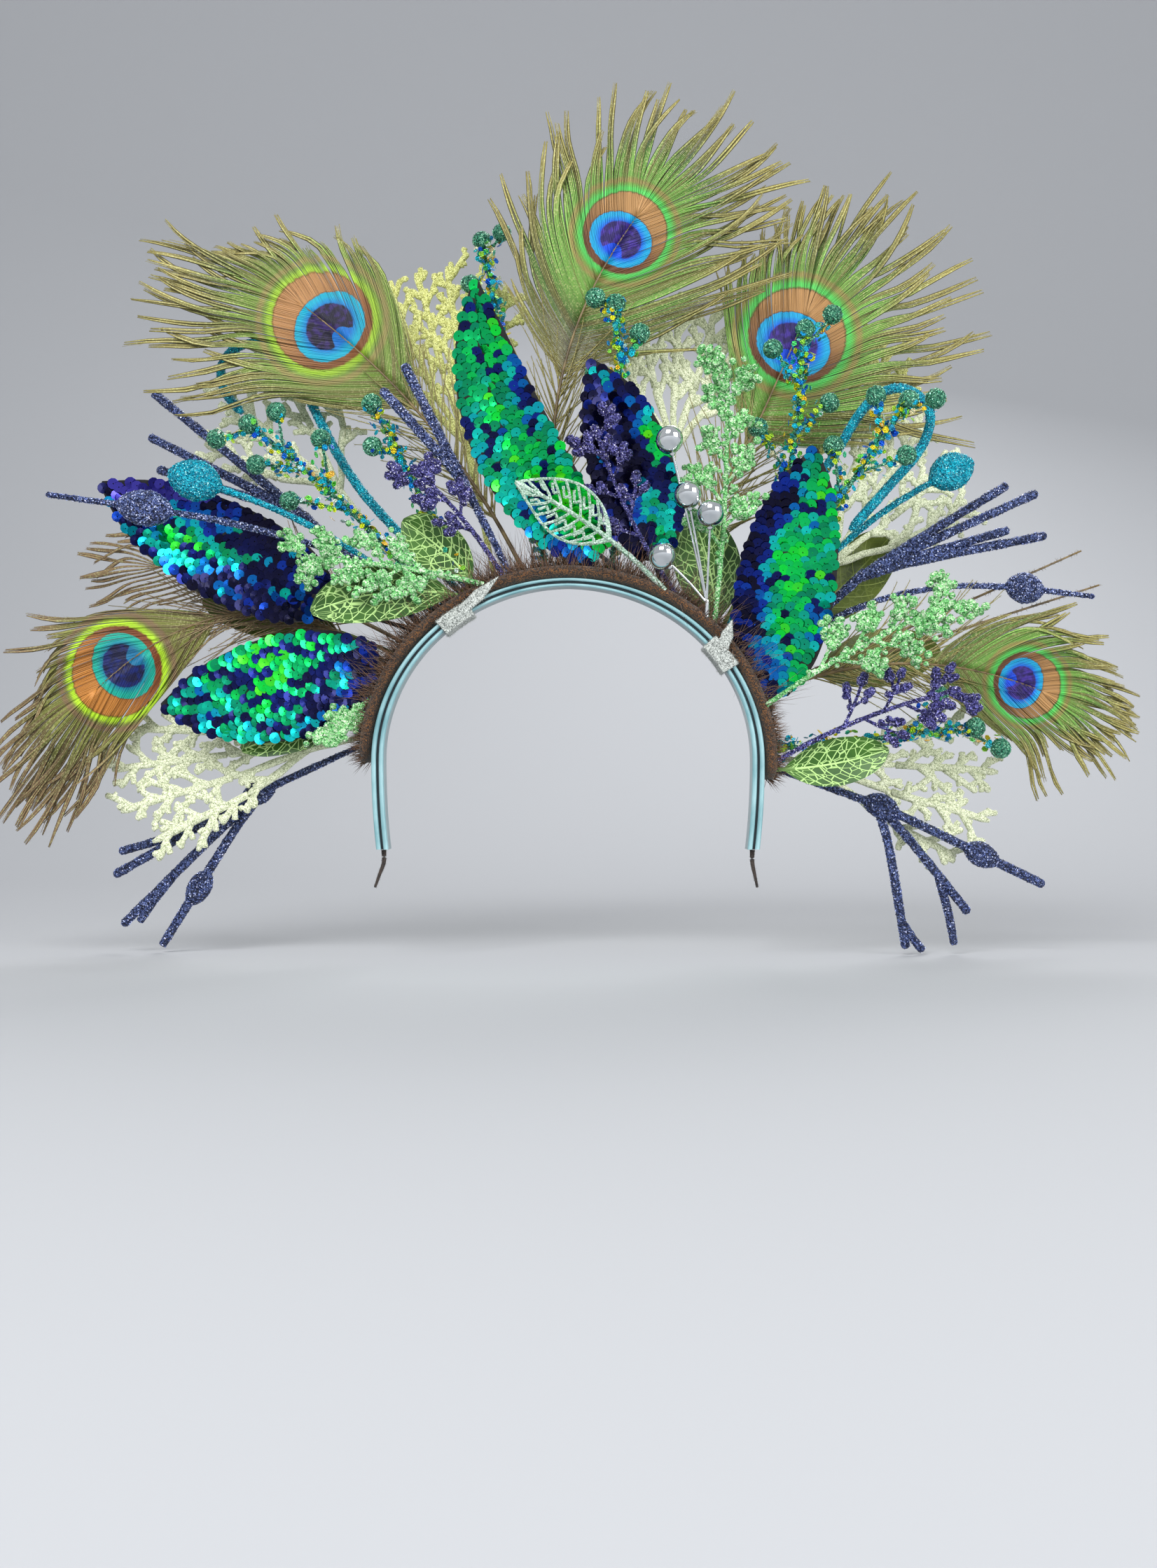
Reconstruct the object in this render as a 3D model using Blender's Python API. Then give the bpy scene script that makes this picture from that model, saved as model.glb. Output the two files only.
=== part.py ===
"""Feather headdress: a satin headband that carries a fan of peacock feathers, sequined leaves,
glitter sprigs, berries and coral fans. Lengths are in millimetres and angles in degrees.

The origin is the underside of the band at the middle of the crown. +X is the wearer's left,
-Y is the front and +Z is up. Every piece is glued to one crescent pad. A piece is placed by
its station along the pad, its row in the fan from front to back, and its heading, which is
measured from straight up towards +X.
"""

import math
import random
from collections import namedtuple

import bmesh
import bpy
from mathutils import Vector

MM = 0.001

# The headband
HEAD_HALF_WIDTH = 78.7
CROWN_RISE = 73.6
LEG_DROP = 35.0
LEG_PULL_IN = 2.0
BAND_THICKNESS_CROWN = 3.6
BAND_THICKNESS_LEG = 5.4
BAND_DEPTH = 14.0
GROOVE_WIDTH = 1.0
GROOVE_DEPTH = 1.4
BAND_SECTION_COUNT = 31
# The station at which the crown's curve ends and a straight leg begins
SIDE_STATION = 90.0

# What meets keeps this clearance
CLEARANCE = 0.3

# The pad that carries the fan
PAD_THICKNESS = 5.6
PAD_FIRST_STATION = -90.0
PAD_LAST_STATION = 97.0
PAD_EDGE_MARGIN = 1.4
BAND_PROUD = 1.0
PAD_SECTION_COUNT = 27

# The felt wraps round the band, their tabs, and the tails at its tips
WRAP_WALL = 0.9
WRAP_LENGTH = 15.0
WRAP_TAB_LENGTH = 24.0
WRAP_TAB_WIDTH = 5.0
WRAP_TAB_THICKNESS = 1.2
TAIL_LENGTH = 15.0
TAIL_WIDTH = 2.0
TAIL_THICKNESS = 1.2

# The fan's rows, front to back
STEM_WIDTH = 2.2
ROW_GAP = 0.8
LAST_ROW = 9
FRONT_LEAN = -16.0
BACK_LEAN = 18.0
ROOT_SINK = 1.5

# Feathers
VANE_THICKNESS = 1.0
QUILL_ROOT_RADIUS = 1.0
QUILL_TIP_RADIUS = 0.7
LOCK_WIDTH = 3.2

# Leaves
SEQUIN_LEAF_THICKNESS = 1.6
PLAIN_LEAF_THICKNESS = 1.2
LEAF_STALK_WIDTH = 2.0

# Twigs, buds, curls and sprigs
TWIG_RADIUS = 2.3
BUD_STEM_RADIUS = 1.3
CURL_RADIUS = 1.9
CORAL_RADIUS = 1.15
SKELETON_RIB_RADIUS = 0.75
BALL_RADIUS = 5.4
WIRE_RADIUS = 0.6
PICK_STEM = 7.0

# Shares of the faces that may stay where joined branches are thinned, fewest first
SEAM_KEEP = (0.58, 0.62, 0.66, 0.7, 0.76, 0.84, 0.92)
SHAPES_TO_THIN = 4
SMOOTH_ANGLE = 35.0

PITCH = STEM_WIDTH + ROW_GAP
CROWN_CENTRE = BAND_THICKNESS_CROWN - CROWN_RISE
PAD_INNER = CLEARANCE
PAD_OUTER = PAD_INNER + PAD_THICKNESS
FIRST_ROW_DEPTH = -LAST_ROW * PITCH * 0.3
PAD_FRONT = FIRST_ROW_DEPTH - STEM_WIDTH / 2 - PAD_EDGE_MARGIN
PAD_BACK = FIRST_ROW_DEPTH + LAST_ROW * PITCH + STEM_WIDTH / 2 + PAD_EDGE_MARGIN
BAND_FRONT = PAD_FRONT - BAND_PROUD
BAND_END = SIDE_STATION + LEG_DROP


def table(columns, *rows):
    """Rows of a table as records with named columns."""
    record = namedtuple("Row", columns)
    return [record(*row) for row in rows]


PLACE = "name row station heading length bow "

FEATHERS = table(
    PLACE + "eye vane_base barb_left barb_right splay_left splay_right splay_tip cup",
    ("feather_top", 6, 0, 9, 144, -0.11, 32, 62, 88, 106, 40, 54, 25, -0.4),
    ("feather_upper_left", 6, -12, -38, 136, 0.055, 38, 50, 108, 74, 44, 36, 12, 0.3),
    ("feather_upper_right", 7, 33, 24, 124, 0.0, 38, 48, 88, 108, 36, 64, 15, -0.3),
    ("feather_left", 5, -60, -90, 112, 0.2, 34, 40, 104, 80, 38, 18, 10, 0.4),
    ("feather_right", 5, 70, 87, 109, -0.1, 27, 38, 63, 63, 44, 44, 14, -0.4),
    ("feather_low_left", 8, -52, -71, 108, 0.05, 24, 30, 54, 54, 34, 34, 10, 0.3),
)
LOCKS_A_SIDE = 8
VALLEY_SHARE = 0.46
KNOT_SHARE = 0.76
# The most of the room between two barb lines that a lock fills at its knot
LOCK_FILL = 0.8
QUILL_IN_VANE = 0.3
# How far the quill goes past the middle of the eye, as a share of the eye
QUILL_PAST_EYE = 0.3
# How much longer the lock past the quill's end is than its neighbours
TIP_STRETCH = 1.06

LEAVES = table(
    PLACE + "kind stalk left right fold",
    ("sequin_leaf_centre", 1, 17, -28, 128, -0.13, "sequin", 0.10, 16, 17, 0.8),
    ("sequin_leaf_dark", 3, 27, -17, 96, 0.03, "dark_sequin", 0.14, 17, 17, 0.8),
    ("sequin_leaf_right", 2, 78, 9, 110, -0.02, "sequin", 0.10, 20, 19, 0.8),
    ("sequin_leaf_lower_left", 3, -57, -102, 96, -0.04, "sequin", 0.07, 20, 22, 0.8),
    ("sequin_leaf_upper_left", 4, -47, -65, 142, -0.04, "sequin", 0.26, 18, 21, 0.8),
    ("veined_leaf_left", 1, -31, -97, 60, 0.08, "veined", 0.08, 11, 11, 0.5),
    ("veined_leaf_upper_left", 3, -26, -48, 41, 0.05, "veined", 0.12, 11, 10, 0.5),
    ("veined_leaf_lower_left", 4, -76, -105, 54, 0.05, "veined", 0.10, 9, 10, 0.5),
    ("veined_leaf_centre", 5, 47, -12, 50, 0.05, "veined", 0.12, 14, 13, 0.5),
    ("veined_leaf_right", 2, 93, 80, 46, 0.04, "veined", 0.10, 10, 9, 0.5),
    ("olive_leaf_left", 7, -56, -74, 88, 0.04, "olive", 0.34, 11, 11, 0.5),
    ("olive_leaf_upper_right", 9, 58, 50, 90, 0.04, "olive", 0.34, 13, 13, 0.5),
    ("olive_leaf_right", 9, 69, 76, 84, -0.04, "olive", 0.34, 12, 12, 0.5),
)
# Share along the blade and half-width as a share of the blade's own
PLAIN_OUTLINE = ((0.0, 0.12), (0.16, 0.62), (0.36, 0.95), (0.58, 1.0), (0.8, 0.68), (1.0, 0.05))
SEQUIN_OUTLINE = ((0.0, 0.34), (0.14, 0.8), (0.34, 1.0), (0.58, 0.95), (0.82, 0.62), (1.0, 0.05))

TWIGS = table(
    PLACE + "fork_heading fork_share tips bud_tip",
    ("navy_twig_top_left", 2, -16, -30, 93, 0.0, -27, 0.45, ((-5, 0.96), (3, 1.0)), None),
    ("navy_twig_right", 6, 64, 56, 145, 0.0, 47, 0.44,
     ((-3, 0.94), (1, 1.0), (4, 0.87), (8, 0.96)), None),
    ("navy_twig_lower_right", 6, 92, 118, 125, 0.0, 109, 0.38,
     ((25, 0.75), (8, 0.82), (-5, 1.0)), 2),
    ("navy_twig_upper_left", 7, -45, -52, 157, 0.0, -47, 0.44,
     ((3, 1.0), (-3, 0.93), (-7, 0.86)), None),
    ("navy_twig_lower_left", 7, -84, -125, 130, 0.0, -114, 0.38,
     ((8, 0.94), (-1, 1.0), (-9, 0.94)), 2),
)
TWIG_BUD_LENGTH = 17.0
TWIG_BUD_WIDTH = 10.0

BUDS = table(
    PLACE + "kind bud_length bud_width stick",
    ("navy_bud_left", 2, -33, -74, 127, 0.04, "navy", 22, 14, 38),
    ("navy_bud_right", 7, 63, 72, 125, -0.11, "navy", 17, 13, 31),
    ("turquoise_bud_left", 3, -40, -61, 110, 0.06, "turquoise", 22, 16, 0),
    ("turquoise_bud_right", 5, 61, 46, 118, -0.08, "turquoise", 20, 15, 0),
)
# Share along the bud and radius as a share of its half-width
BUD_PROFILE = ((-0.5, 0.16), (-0.34, 0.68), (-0.1, 1.0), (0.16, 0.94), (0.38, 0.6), (0.5, 0.16))

CURLS = table(
    PLACE + "route",
    ("turquoise_curl_right", 4, 50, 35, 126, 0.0,
     ((0.19, -0.04), (0.42, -0.045), (0.68, -0.05), (0.86, -0.06), (0.96, -0.03),
      (1.0, 0.04), (0.97, 0.13), (0.86, 0.165), (0.7, 0.15), (0.52, 0.13))),
    ("turquoise_curl_left", 7, -30, -42, 148, 0.0,
     ((0.34, -0.02), (0.55, 0.0), (0.83, 0.07), (0.95, 0.065), (1.0, -0.01),
      (0.99, -0.07), (0.93, -0.115), (0.84, -0.12))),
)

SPRIGS = table(
    PLACE + "kind first count reach",
    ("mint_sprig_left", 0, -24, -83, 72, 0.03, "mint", 0.25, 8, 0.27),
    ("mint_sprig_right", 0, 73, 61, 82, -0.03, "mint", 0.3, 8, 0.25),
    ("mint_sprig_centre", 1, 45, 2, 101, 0.02, "mint", 0.3, 9, 0.2),
    ("mint_sprig_lower_left", 1, -70, -131, 26, 0.0, "mint", 0.3, 4, 0.34),
    ("purple_sprig_left", 1, -18, -40, 55, 0.04, "purple", 0.4, 5, 0.28),
    ("purple_sprig_centre", 2, 33, -27, 76, -0.04, "purple", 0.4, 6, 0.24),
    ("purple_sprig_right", 1, 90, 68, 76, -0.04, "purple", 0.4, 6, 0.26),
    ("berry_sprig_top_left", 8, -6, -11, 152, 0.0, "berry", 0.8, 2, 0.11),
    ("berry_sprig_top", 4, 12, 1, 110, 0.03, "berry", 0.62, 3, 0.17),
    ("berry_sprig_left", 5, -38, -46, 112, 0.03, "berry", 0.5, 5, 0.22),
    ("berry_sprig_inner_left", 4, -28, -28, 87, 0.0, "berry", 0.7, 1, 0.2),
    ("berry_sprig_right", 5, 56, 12, 138, 0.04, "berry", 0.55, 4, 0.17),
    ("berry_sprig_outer_right", 3, 54, 35, 121, 0.0, "berry", 0.6, 4, 0.19),
    ("berry_sprig_lower_right", 4, 86, 84, 83, 0.0, "berry", 0.66, 2, 0.26),
)
BERRY_RINGS = (-0.75, 0.0, 0.75)
# A sprig's stem radius, branch angle, berry radius and berry length for its kind
Habit = namedtuple("Habit", "stem angle berry stretch")
HABITS = {
    "mint": Habit(0.9, 38, 2.0, 1.4),
    "purple": Habit(0.8, 42, 2.7, 1.2),
    "berry": Habit(0.7, 40, 4.0, 1.0),
}

CORALS = table(
    PLACE + "kind trunk spread limbs",
    ("coral_upper_left", 8, -40, -38, 144, 0.0, "cream", 0.52, 36, 4),
    ("coral_top_left", 9, -21, -12, 150, 0.0, "yellow", 0.5, 24, 4),
    ("coral_top_right", 8, 29, 3, 132, 0.0, "cream", 0.56, 30, 4),
    ("coral_right", 8, 58, 43, 137, 0.0, "cream", 0.46, 28, 4),
    ("coral_behind_right", 9, 48, 29, 156, 0.0, "yellow", 0.66, 24, 3),
    ("coral_lower_left", 6, -82, -102, 112, 0.0, "cream", 0.24, 26, 4),
    ("coral_lower_right", 7, 88, 100, 101, 0.0, "cream", 0.24, 26, 4),
)
# Share along a coral limb, its twig's length share, and its side
CORAL_TWIGS = ((0.36, 0.36, 1), (0.66, 0.28, -1))

SKELETON = table(PLACE + "stalk width veins",
                 ("skeleton_leaf", 0, 28, -55, 73, 0.05, 0.4, 22, 3))[0]
# Heading from the seat and distance of each silver ball
BALLS = table("heading distance", (-13, 70), (-10, 48), (1, 40), (-37, 30))
SILVER_PICK = table(PLACE, ("silver_pick", 0, 42, 0, 70, 0.0))[0]
QUILLS = table("heading distance", (-3, 158), (3, 160))
BARE_QUILLS = table(PLACE, ("bare_quill_pair", 8, 69, 69, 160, 0.0))[0]

# A side of the head, the station of its wrap, and the heading of the wrap's tab
WRAPS = table("name station tab_heading tab_share",
              ("felt_wrap_left", -36.0, 47.0, 1.0), ("felt_wrap_right", 53.0, 18.0, 0.62))
TAILS = table("name side lean", ("tail_left", -1, -14.0), ("tail_right", 1, 8.0))

# Colour, roughness and metallic value of each finish
FINISHES = {
    "satin": ((0.62, 0.80, 0.82), 0.35, 0.0),
    "pad": ((0.16, 0.08, 0.04), 0.9, 0.0),
    "felt": ((0.50, 0.52, 0.50), 0.95, 0.0),
    "tail": ((0.07, 0.06, 0.05), 0.8, 0.0),
    "feather": ((0.20, 0.34, 0.10), 0.5, 0.1),
    "sequin": ((0.0, 0.45, 0.25), 0.25, 0.6),
    "dark_sequin": ((0.02, 0.05, 0.16), 0.25, 0.6),
    "veined": ((0.25, 0.42, 0.12), 0.6, 0.0),
    "olive": ((0.22, 0.26, 0.06), 0.6, 0.0),
    "navy": ((0.06, 0.09, 0.20), 0.6, 0.2),
    "turquoise": ((0.0, 0.45, 0.60), 0.5, 0.2),
    "mint": ((0.45, 0.72, 0.45), 0.6, 0.1),
    "purple": ((0.14, 0.11, 0.32), 0.6, 0.1),
    "berry": ((0.12, 0.42, 0.36), 0.6, 0.1),
    "cream": ((0.80, 0.84, 0.66), 0.95, 0.0),
    "yellow": ((0.70, 0.68, 0.34), 0.95, 0.0),
    "silver": ((0.80, 0.82, 0.84), 0.1, 1.0),
    "quill": ((0.30, 0.24, 0.13), 0.6, 0.0),
}


# The crown line and the rows of the fan

def crown_line(station, offset):
    """Point (x, z) at a station, this far outside the band's outer line."""
    half_width = HEAD_HALF_WIDTH + offset
    rise = CROWN_RISE + offset
    if abs(station) <= SIDE_STATION:
        angle = math.radians(station)
        return half_width * math.sin(angle), CROWN_CENTRE + rise * math.cos(angle)
    drop = abs(station) - SIDE_STATION
    pull = LEG_PULL_IN * (drop / LEG_DROP) ** 2
    return math.copysign(half_width - pull, station), CROWN_CENTRE - drop


def distance_out(x, z):
    """How far a point lies outside the pad's outer face."""
    half_width = HEAD_HALF_WIDTH + PAD_OUTER
    rise = CROWN_RISE + PAD_OUTER
    height = max(z - CROWN_CENTRE, 0.0)
    return max(math.hypot(x / half_width, height / rise) - 1.0, 0.0) * half_width


def row_lean(row):
    """Depth gained by a row for each millimetre out from the pad."""
    return math.tan(math.radians(FRONT_LEAN + (BACK_LEAN - FRONT_LEAN) * row / LAST_ROW))


def row_depth(row, x, z):
    """Depth of a row's middle surface over the point (x, z)."""
    return FIRST_ROW_DEPTH + PITCH * row + row_lean(row) * distance_out(x, z)


class Seat:
    """Where a piece is glued on. Its u axis runs along the heading, v to the right, w back."""

    def __init__(self, place):
        self.row = place.row
        self.x, self.z = crown_line(place.station, PAD_OUTER - ROOT_SINK)
        self.heading = math.radians(place.heading)

    def plan(self, u, v):
        sine = math.sin(self.heading)
        cosine = math.cos(self.heading)
        return self.x + u * sine + v * cosine, self.z + u * cosine - v * sine

    def drape(self, point):
        """Lay a point of the flat piece on its row's surface."""
        x, z = self.plan(point.x, point.y)
        return Vector((x, row_depth(self.row, x, z) + point.z, z))

    def room(self, u, v):
        """Half of the depth that a row has to itself at a point."""
        step = (row_lean(LAST_ROW) - row_lean(0)) / LAST_ROW
        spacing = PITCH + step * distance_out(*self.plan(u, v))
        return (spacing - CLEARANCE) / 2


# Closed shapes as a list of points and a list of faces

def tube(points, radii, sides):
    """A closed tube along points, with one radius for each."""
    verts = []
    faces = []
    last = len(points) - 1
    for index, point in enumerate(points):
        ahead = points[min(index + 1, last)] - points[max(index - 1, 0)]
        across = ahead.cross(Vector((0, 0, 1))).normalized()
        up = across.cross(ahead).normalized()
        for corner in range(sides):
            angle = 2 * math.pi * corner / sides
            verts.append(point + radii[index] * (math.cos(angle) * across + math.sin(angle) * up))
    for index in range(last):
        for corner in range(sides):
            here = index * sides + corner
            beside = index * sides + (corner + 1) % sides
            faces.append((here, beside, beside + sides, here + sides))
    faces.append(tuple(range(sides))[::-1])
    faces.append(tuple(range(last * sides, (last + 1) * sides)))
    return verts, faces


def flatten(shape, depth_share):
    """Press a shape in depth about its own middle."""
    verts, faces = shape
    middle = sum((vert.z for vert in verts)) / len(verts)
    pressed = [Vector((vert.x, vert.y, middle + (vert.z - middle) * depth_share)) for vert in verts]
    return pressed, faces


def ball(centre, direction, radius, stretch, sides, rings=(-0.8, -0.3, 0.3, 0.8)):
    """A round or longish berry about its centre."""
    points = [centre + direction * (radius * stretch * share) for share in rings]
    radii = [radius * math.sqrt(1 - share * share) for share in rings]
    return tube(points, radii, sides)


def club(root, tip, stem, radius, stretch, sides):
    """A short branch that swells into a berry at its end."""
    along = (tip - root).normalized() * radius * stretch
    points = [root, tip - along, tip, tip + along * 0.85]
    return tube(points, [stem, stem, radius, radius * 0.55], sides)


def slab(verts, faces, thickness):
    """A flat or cambered net of faces, made solid by its thickness in depth."""
    count = len(verts)
    half = Vector((0, 0, thickness / 2))
    solid = [vert - half for vert in verts] + [vert + half for vert in verts]
    shell = []
    edges = {}
    for face in faces:
        shell.append(tuple(face)[::-1])
        shell.append(tuple(index + count for index in face))
        for start, end in zip(face, face[1:] + face[:1]):
            edges[(start, end)] = True
    for start, end in edges:
        if (end, start) not in edges:
            shell.append((start, end, end + count, start + count))
    return solid, shell


def bowed(length, bow, share):
    """Point at a share of a stem that bulges sideways by a share of its length."""
    return Vector((length * share, 4 * bow * length * share * (1 - share), 0))


def bowed_heading(bow, share):
    """Angle of a bowed stem from its chord."""
    return math.atan(4 * bow * (1 - 2 * share))


def towards(angle, distance):
    """Step in the piece's plane, at an angle from its heading."""
    return Vector((math.cos(angle) * distance, math.sin(angle) * distance, 0))


def smooth_route(points, steps):
    """Points along a smooth curve through a few given points."""
    route = []
    last = len(points) - 1
    for index in range(last):
        before = points[max(index - 1, 0)]
        start = points[index]
        end = points[index + 1]
        after = points[min(index + 2, last)]
        for step in range(steps):
            t = step / steps
            route.append(0.5 * (2 * start + (end - before) * t
                                + (2 * before - 5 * start + 4 * end - after) * t * t
                                + (3 * start - before - 3 * end + after) * t * t * t))
    route.append(points[last])
    return route


# Objects

def finish_material(finish):
    material = bpy.data.materials.get(finish)
    if material:
        return material
    colour, roughness, metallic = FINISHES[finish]
    material = bpy.data.materials.new(finish)
    material.use_nodes = True
    shader = material.node_tree.nodes["Principled BSDF"]
    shader.inputs["Base Color"].default_value = (*colour, 1.0)
    shader.inputs["Roughness"].default_value = roughness
    shader.inputs["Metallic"].default_value = metallic
    return material


def mesh_object(name, shape):
    """An object from one closed shape, with its faces turned out."""
    verts, faces = shape
    bm = bmesh.new()
    corners = [bm.verts.new(vert * MM) for vert in verts]
    for face in faces:
        bm.faces.new([corners[index] for index in face])
    bmesh.ops.recalc_face_normals(bm, faces=bm.faces[:])
    mesh = bpy.data.meshes.new(name)
    bm.to_mesh(mesh)
    bm.free()
    item = bpy.data.objects.new(name, mesh)
    bpy.context.scene.collection.objects.link(item)
    return item


def evaluated_mesh(item):
    """The object's mesh with its modifiers, as a new mesh."""
    bpy.context.view_layer.update()
    graph = bpy.context.evaluated_depsgraph_get()
    return bpy.data.meshes.new_from_object(item.evaluated_get(graph))


def remove(item):
    mesh = item.data
    bpy.data.objects.remove(item)
    bpy.data.meshes.remove(mesh)


def replace_mesh(item, mesh):
    old = item.data
    item.data = mesh
    bpy.data.meshes.remove(old)


def is_closed(mesh):
    """Whether a mesh is one body in which every edge has two faces and every corner one fan."""
    bm = bmesh.new()
    bm.from_mesh(mesh)
    whole = all(edge.is_manifold for edge in bm.edges) and all(v.is_manifold for v in bm.verts)
    reached = set()
    waiting = [next(iter(bm.verts))]
    while waiting:
        vert = waiting.pop()
        if vert not in reached:
            reached.add(vert)
            waiting.extend(edge.other_vert(vert) for edge in vert.link_edges)
    whole = whole and len(reached) == len(bm.verts)
    bm.free()
    return whole


def thin_seams(item):
    """Merge the slivers along the seams, as far as the mesh stays closed."""
    thin = item.modifiers.new("thin", "DECIMATE")
    for keep in SEAM_KEEP:
        thin.ratio = keep
        mesh = evaluated_mesh(item)
        if is_closed(mesh):
            item.modifiers.clear()
            replace_mesh(item, mesh)
            return
        bpy.data.meshes.remove(mesh)
    item.modifiers.clear()


def fused(name, shapes):
    """One object from overlapping closed shapes, joined by Boolean union."""
    item = mesh_object(name, shapes[0])
    if len(shapes) == 1:
        return item
    others = bpy.data.collections.new(name + "_limbs")
    bpy.context.scene.collection.children.link(others)
    for index, shape in enumerate(shapes[1:]):
        limb = mesh_object(f"{name}_limb_{index}", shape)
        bpy.context.scene.collection.objects.unlink(limb)
        others.objects.link(limb)
    union = item.modifiers.new("union", "BOOLEAN")
    union.operation = "UNION"
    union.operand_type = "COLLECTION"
    union.collection = others
    union.solver = "EXACT"
    joined = evaluated_mesh(item)
    for limb in list(others.objects):
        remove(limb)
    bpy.data.collections.remove(others)
    item.modifiers.clear()
    replace_mesh(item, joined)
    return item


def as_cutter(item):
    item.hide_render = True
    item.display_type = "WIRE"
    return item


def cut(item, cutter):
    """Trim an object by a cutter, which stays in the file as a guide."""
    trim = item.modifiers.new("trim", "BOOLEAN")
    trim.operation = "DIFFERENCE"
    trim.solver = "EXACT"
    trim.object = cutter


def finish(item, kind):
    item.data.materials.clear()
    item.data.materials.append(finish_material(kind))
    item.data.shade_smooth()
    item.data.set_sharp_from_angle(angle=math.radians(SMOOTH_ANGLE))


def fan_piece(place, shapes, kind, pad_cutter):
    """Join a piece's shapes, lay it on its row and trim its root to the pad's face."""
    seat = Seat(place)
    item = fused(place.name, shapes)
    bm = bmesh.new()
    bm.from_mesh(item.data)
    bmesh.ops.triangulate(bm, faces=bm.faces[:])
    for vert in bm.verts:
        vert.co = seat.drape(vert.co / MM) * MM
    bm.to_mesh(item.data)
    bm.free()
    cut(item, pad_cutter)
    if len(shapes) >= SHAPES_TO_THIN:
        trimmed = evaluated_mesh(item)
        item.modifiers.clear()
        replace_mesh(item, trimmed)
        thin_seams(item)
    finish(item, kind)


# The band, the pad, the wraps and the tails

def loft(profiles, name):
    """Closed solid through rings of points."""
    sides = len(profiles[0])
    verts = [point for ring in profiles for point in ring]
    faces = []
    for index in range(len(profiles) - 1):
        for corner in range(sides):
            here = index * sides + corner
            beside = index * sides + (corner + 1) % sides
            faces.append((here, beside, beside + sides, here + sides))
    faces.append(tuple(range(sides))[::-1])
    faces.append(tuple(range((len(profiles) - 1) * sides, len(profiles) * sides)))
    return mesh_object(name, (verts, faces))


def stations(first, last, count):
    return [first + (last - first) * index / (count - 1) for index in range(count)]


def crown_point(station, offset, depth):
    x, z = crown_line(station, offset)
    return Vector((x, depth, z))


def band_thickness(station):
    share = min(abs(station) / SIDE_STATION, 1.0)
    return BAND_THICKNESS_CROWN + (BAND_THICKNESS_LEG - BAND_THICKNESS_CROWN) * share


def make_band():
    """The satin band: two rails with a groove between them, seen from the front."""
    rings = []
    for station in stations(-BAND_END, BAND_END, BAND_SECTION_COUNT):
        thickness = band_thickness(station)
        rail = (thickness - GROOVE_WIDTH) / 2
        back = BAND_FRONT + BAND_DEPTH
        groove = BAND_FRONT + GROOVE_DEPTH
        section = ((0, back), (-thickness, back), (-thickness, BAND_FRONT),
                   (-thickness + rail, BAND_FRONT), (-thickness + rail, groove),
                   (-rail, groove), (-rail, BAND_FRONT), (0, BAND_FRONT))
        rings.append([crown_point(station, offset, depth) for offset, depth in section])
    finish(loft(rings, "headband"), "satin")


def pad_rings(grow):
    """Rings of the pad's box section, grown on every side."""
    corners = ((PAD_INNER - grow, PAD_FRONT - grow), (PAD_OUTER + grow, PAD_FRONT - grow),
               (PAD_OUTER + grow, PAD_BACK + grow), (PAD_INNER - grow, PAD_BACK + grow))
    first = PAD_FIRST_STATION - grow
    last = PAD_LAST_STATION + grow
    return [[crown_point(station, offset, depth) for offset, depth in corners]
            for station in stations(first, last, PAD_SECTION_COUNT)]


def sleeve(name, station, length, outer):
    """A block that wraps the band at a station and stands this far off it."""
    half = math.degrees(length / 2 / HEAD_HALF_WIDTH)
    rings = []
    for at in stations(station - half, station + half, 5):
        low = -band_thickness(at) - outer
        front = BAND_FRONT - outer
        back = BAND_FRONT + BAND_DEPTH + outer
        section = ((outer, front), (outer, back), (low, back), (low, front))
        rings.append([crown_point(at, offset, depth) for offset, depth in section])
    return loft(rings, name)


def make_wraps():
    """Felt wraps that bind the pad to the band, each with a pointed tab in front of the pad."""
    seats = []
    for row in WRAPS:
        wall = CLEARANCE + WRAP_WALL
        wrap = sleeve(row.name, row.station, WRAP_LENGTH, wall)
        union = wrap.modifiers.new("tab", "BOOLEAN")
        union.operation = "UNION"
        union.solver = "EXACT"
        union.object = as_cutter(wrap_tab(row))
        bore = sleeve(row.name + "_bore", row.station, WRAP_LENGTH * 1.5, CLEARANCE)
        cut(wrap, as_cutter(bore))
        finish(wrap, "felt")
        room = WRAP_LENGTH + 2 * CLEARANCE
        seat = sleeve(row.name + "_seat", row.station, room, wall + CLEARANCE)
        seats.append(as_cutter(seat))
    return seats


def wrap_tab(row):
    """A pointed strip of felt that stands from a wrap's front."""
    x, z = crown_line(row.station, -band_thickness(row.station) / 2)
    angle = math.radians(row.tab_heading)
    along = Vector((math.sin(angle), 0, math.cos(angle)))
    across = Vector((math.cos(angle), 0, -math.sin(angle)))
    middle = Vector((x, BAND_FRONT - CLEARANCE - WRAP_WALL / 2 - WRAP_TAB_THICKNESS, z))
    length = WRAP_TAB_LENGTH * row.tab_share
    half = WRAP_TAB_WIDTH / 2
    outline = ((-0.22, 0.6), (0.55, 1.0), (1.0, 0.0), (0.55, -1.0), (-0.22, -0.6))
    front = [middle + along * (length * share) + across * (half * side) for share, side in outline]
    back = [point + Vector((0, WRAP_TAB_THICKNESS, 0)) for point in front]
    sides = len(front)
    faces = [tuple(range(sides)), tuple(range(sides, 2 * sides))[::-1]]
    for corner in range(sides):
        beside = (corner + 1) % sides
        faces.append((corner, corner + sides, beside + sides, beside))
    return mesh_object(row.name + "_tab", (front + back, faces))


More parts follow.
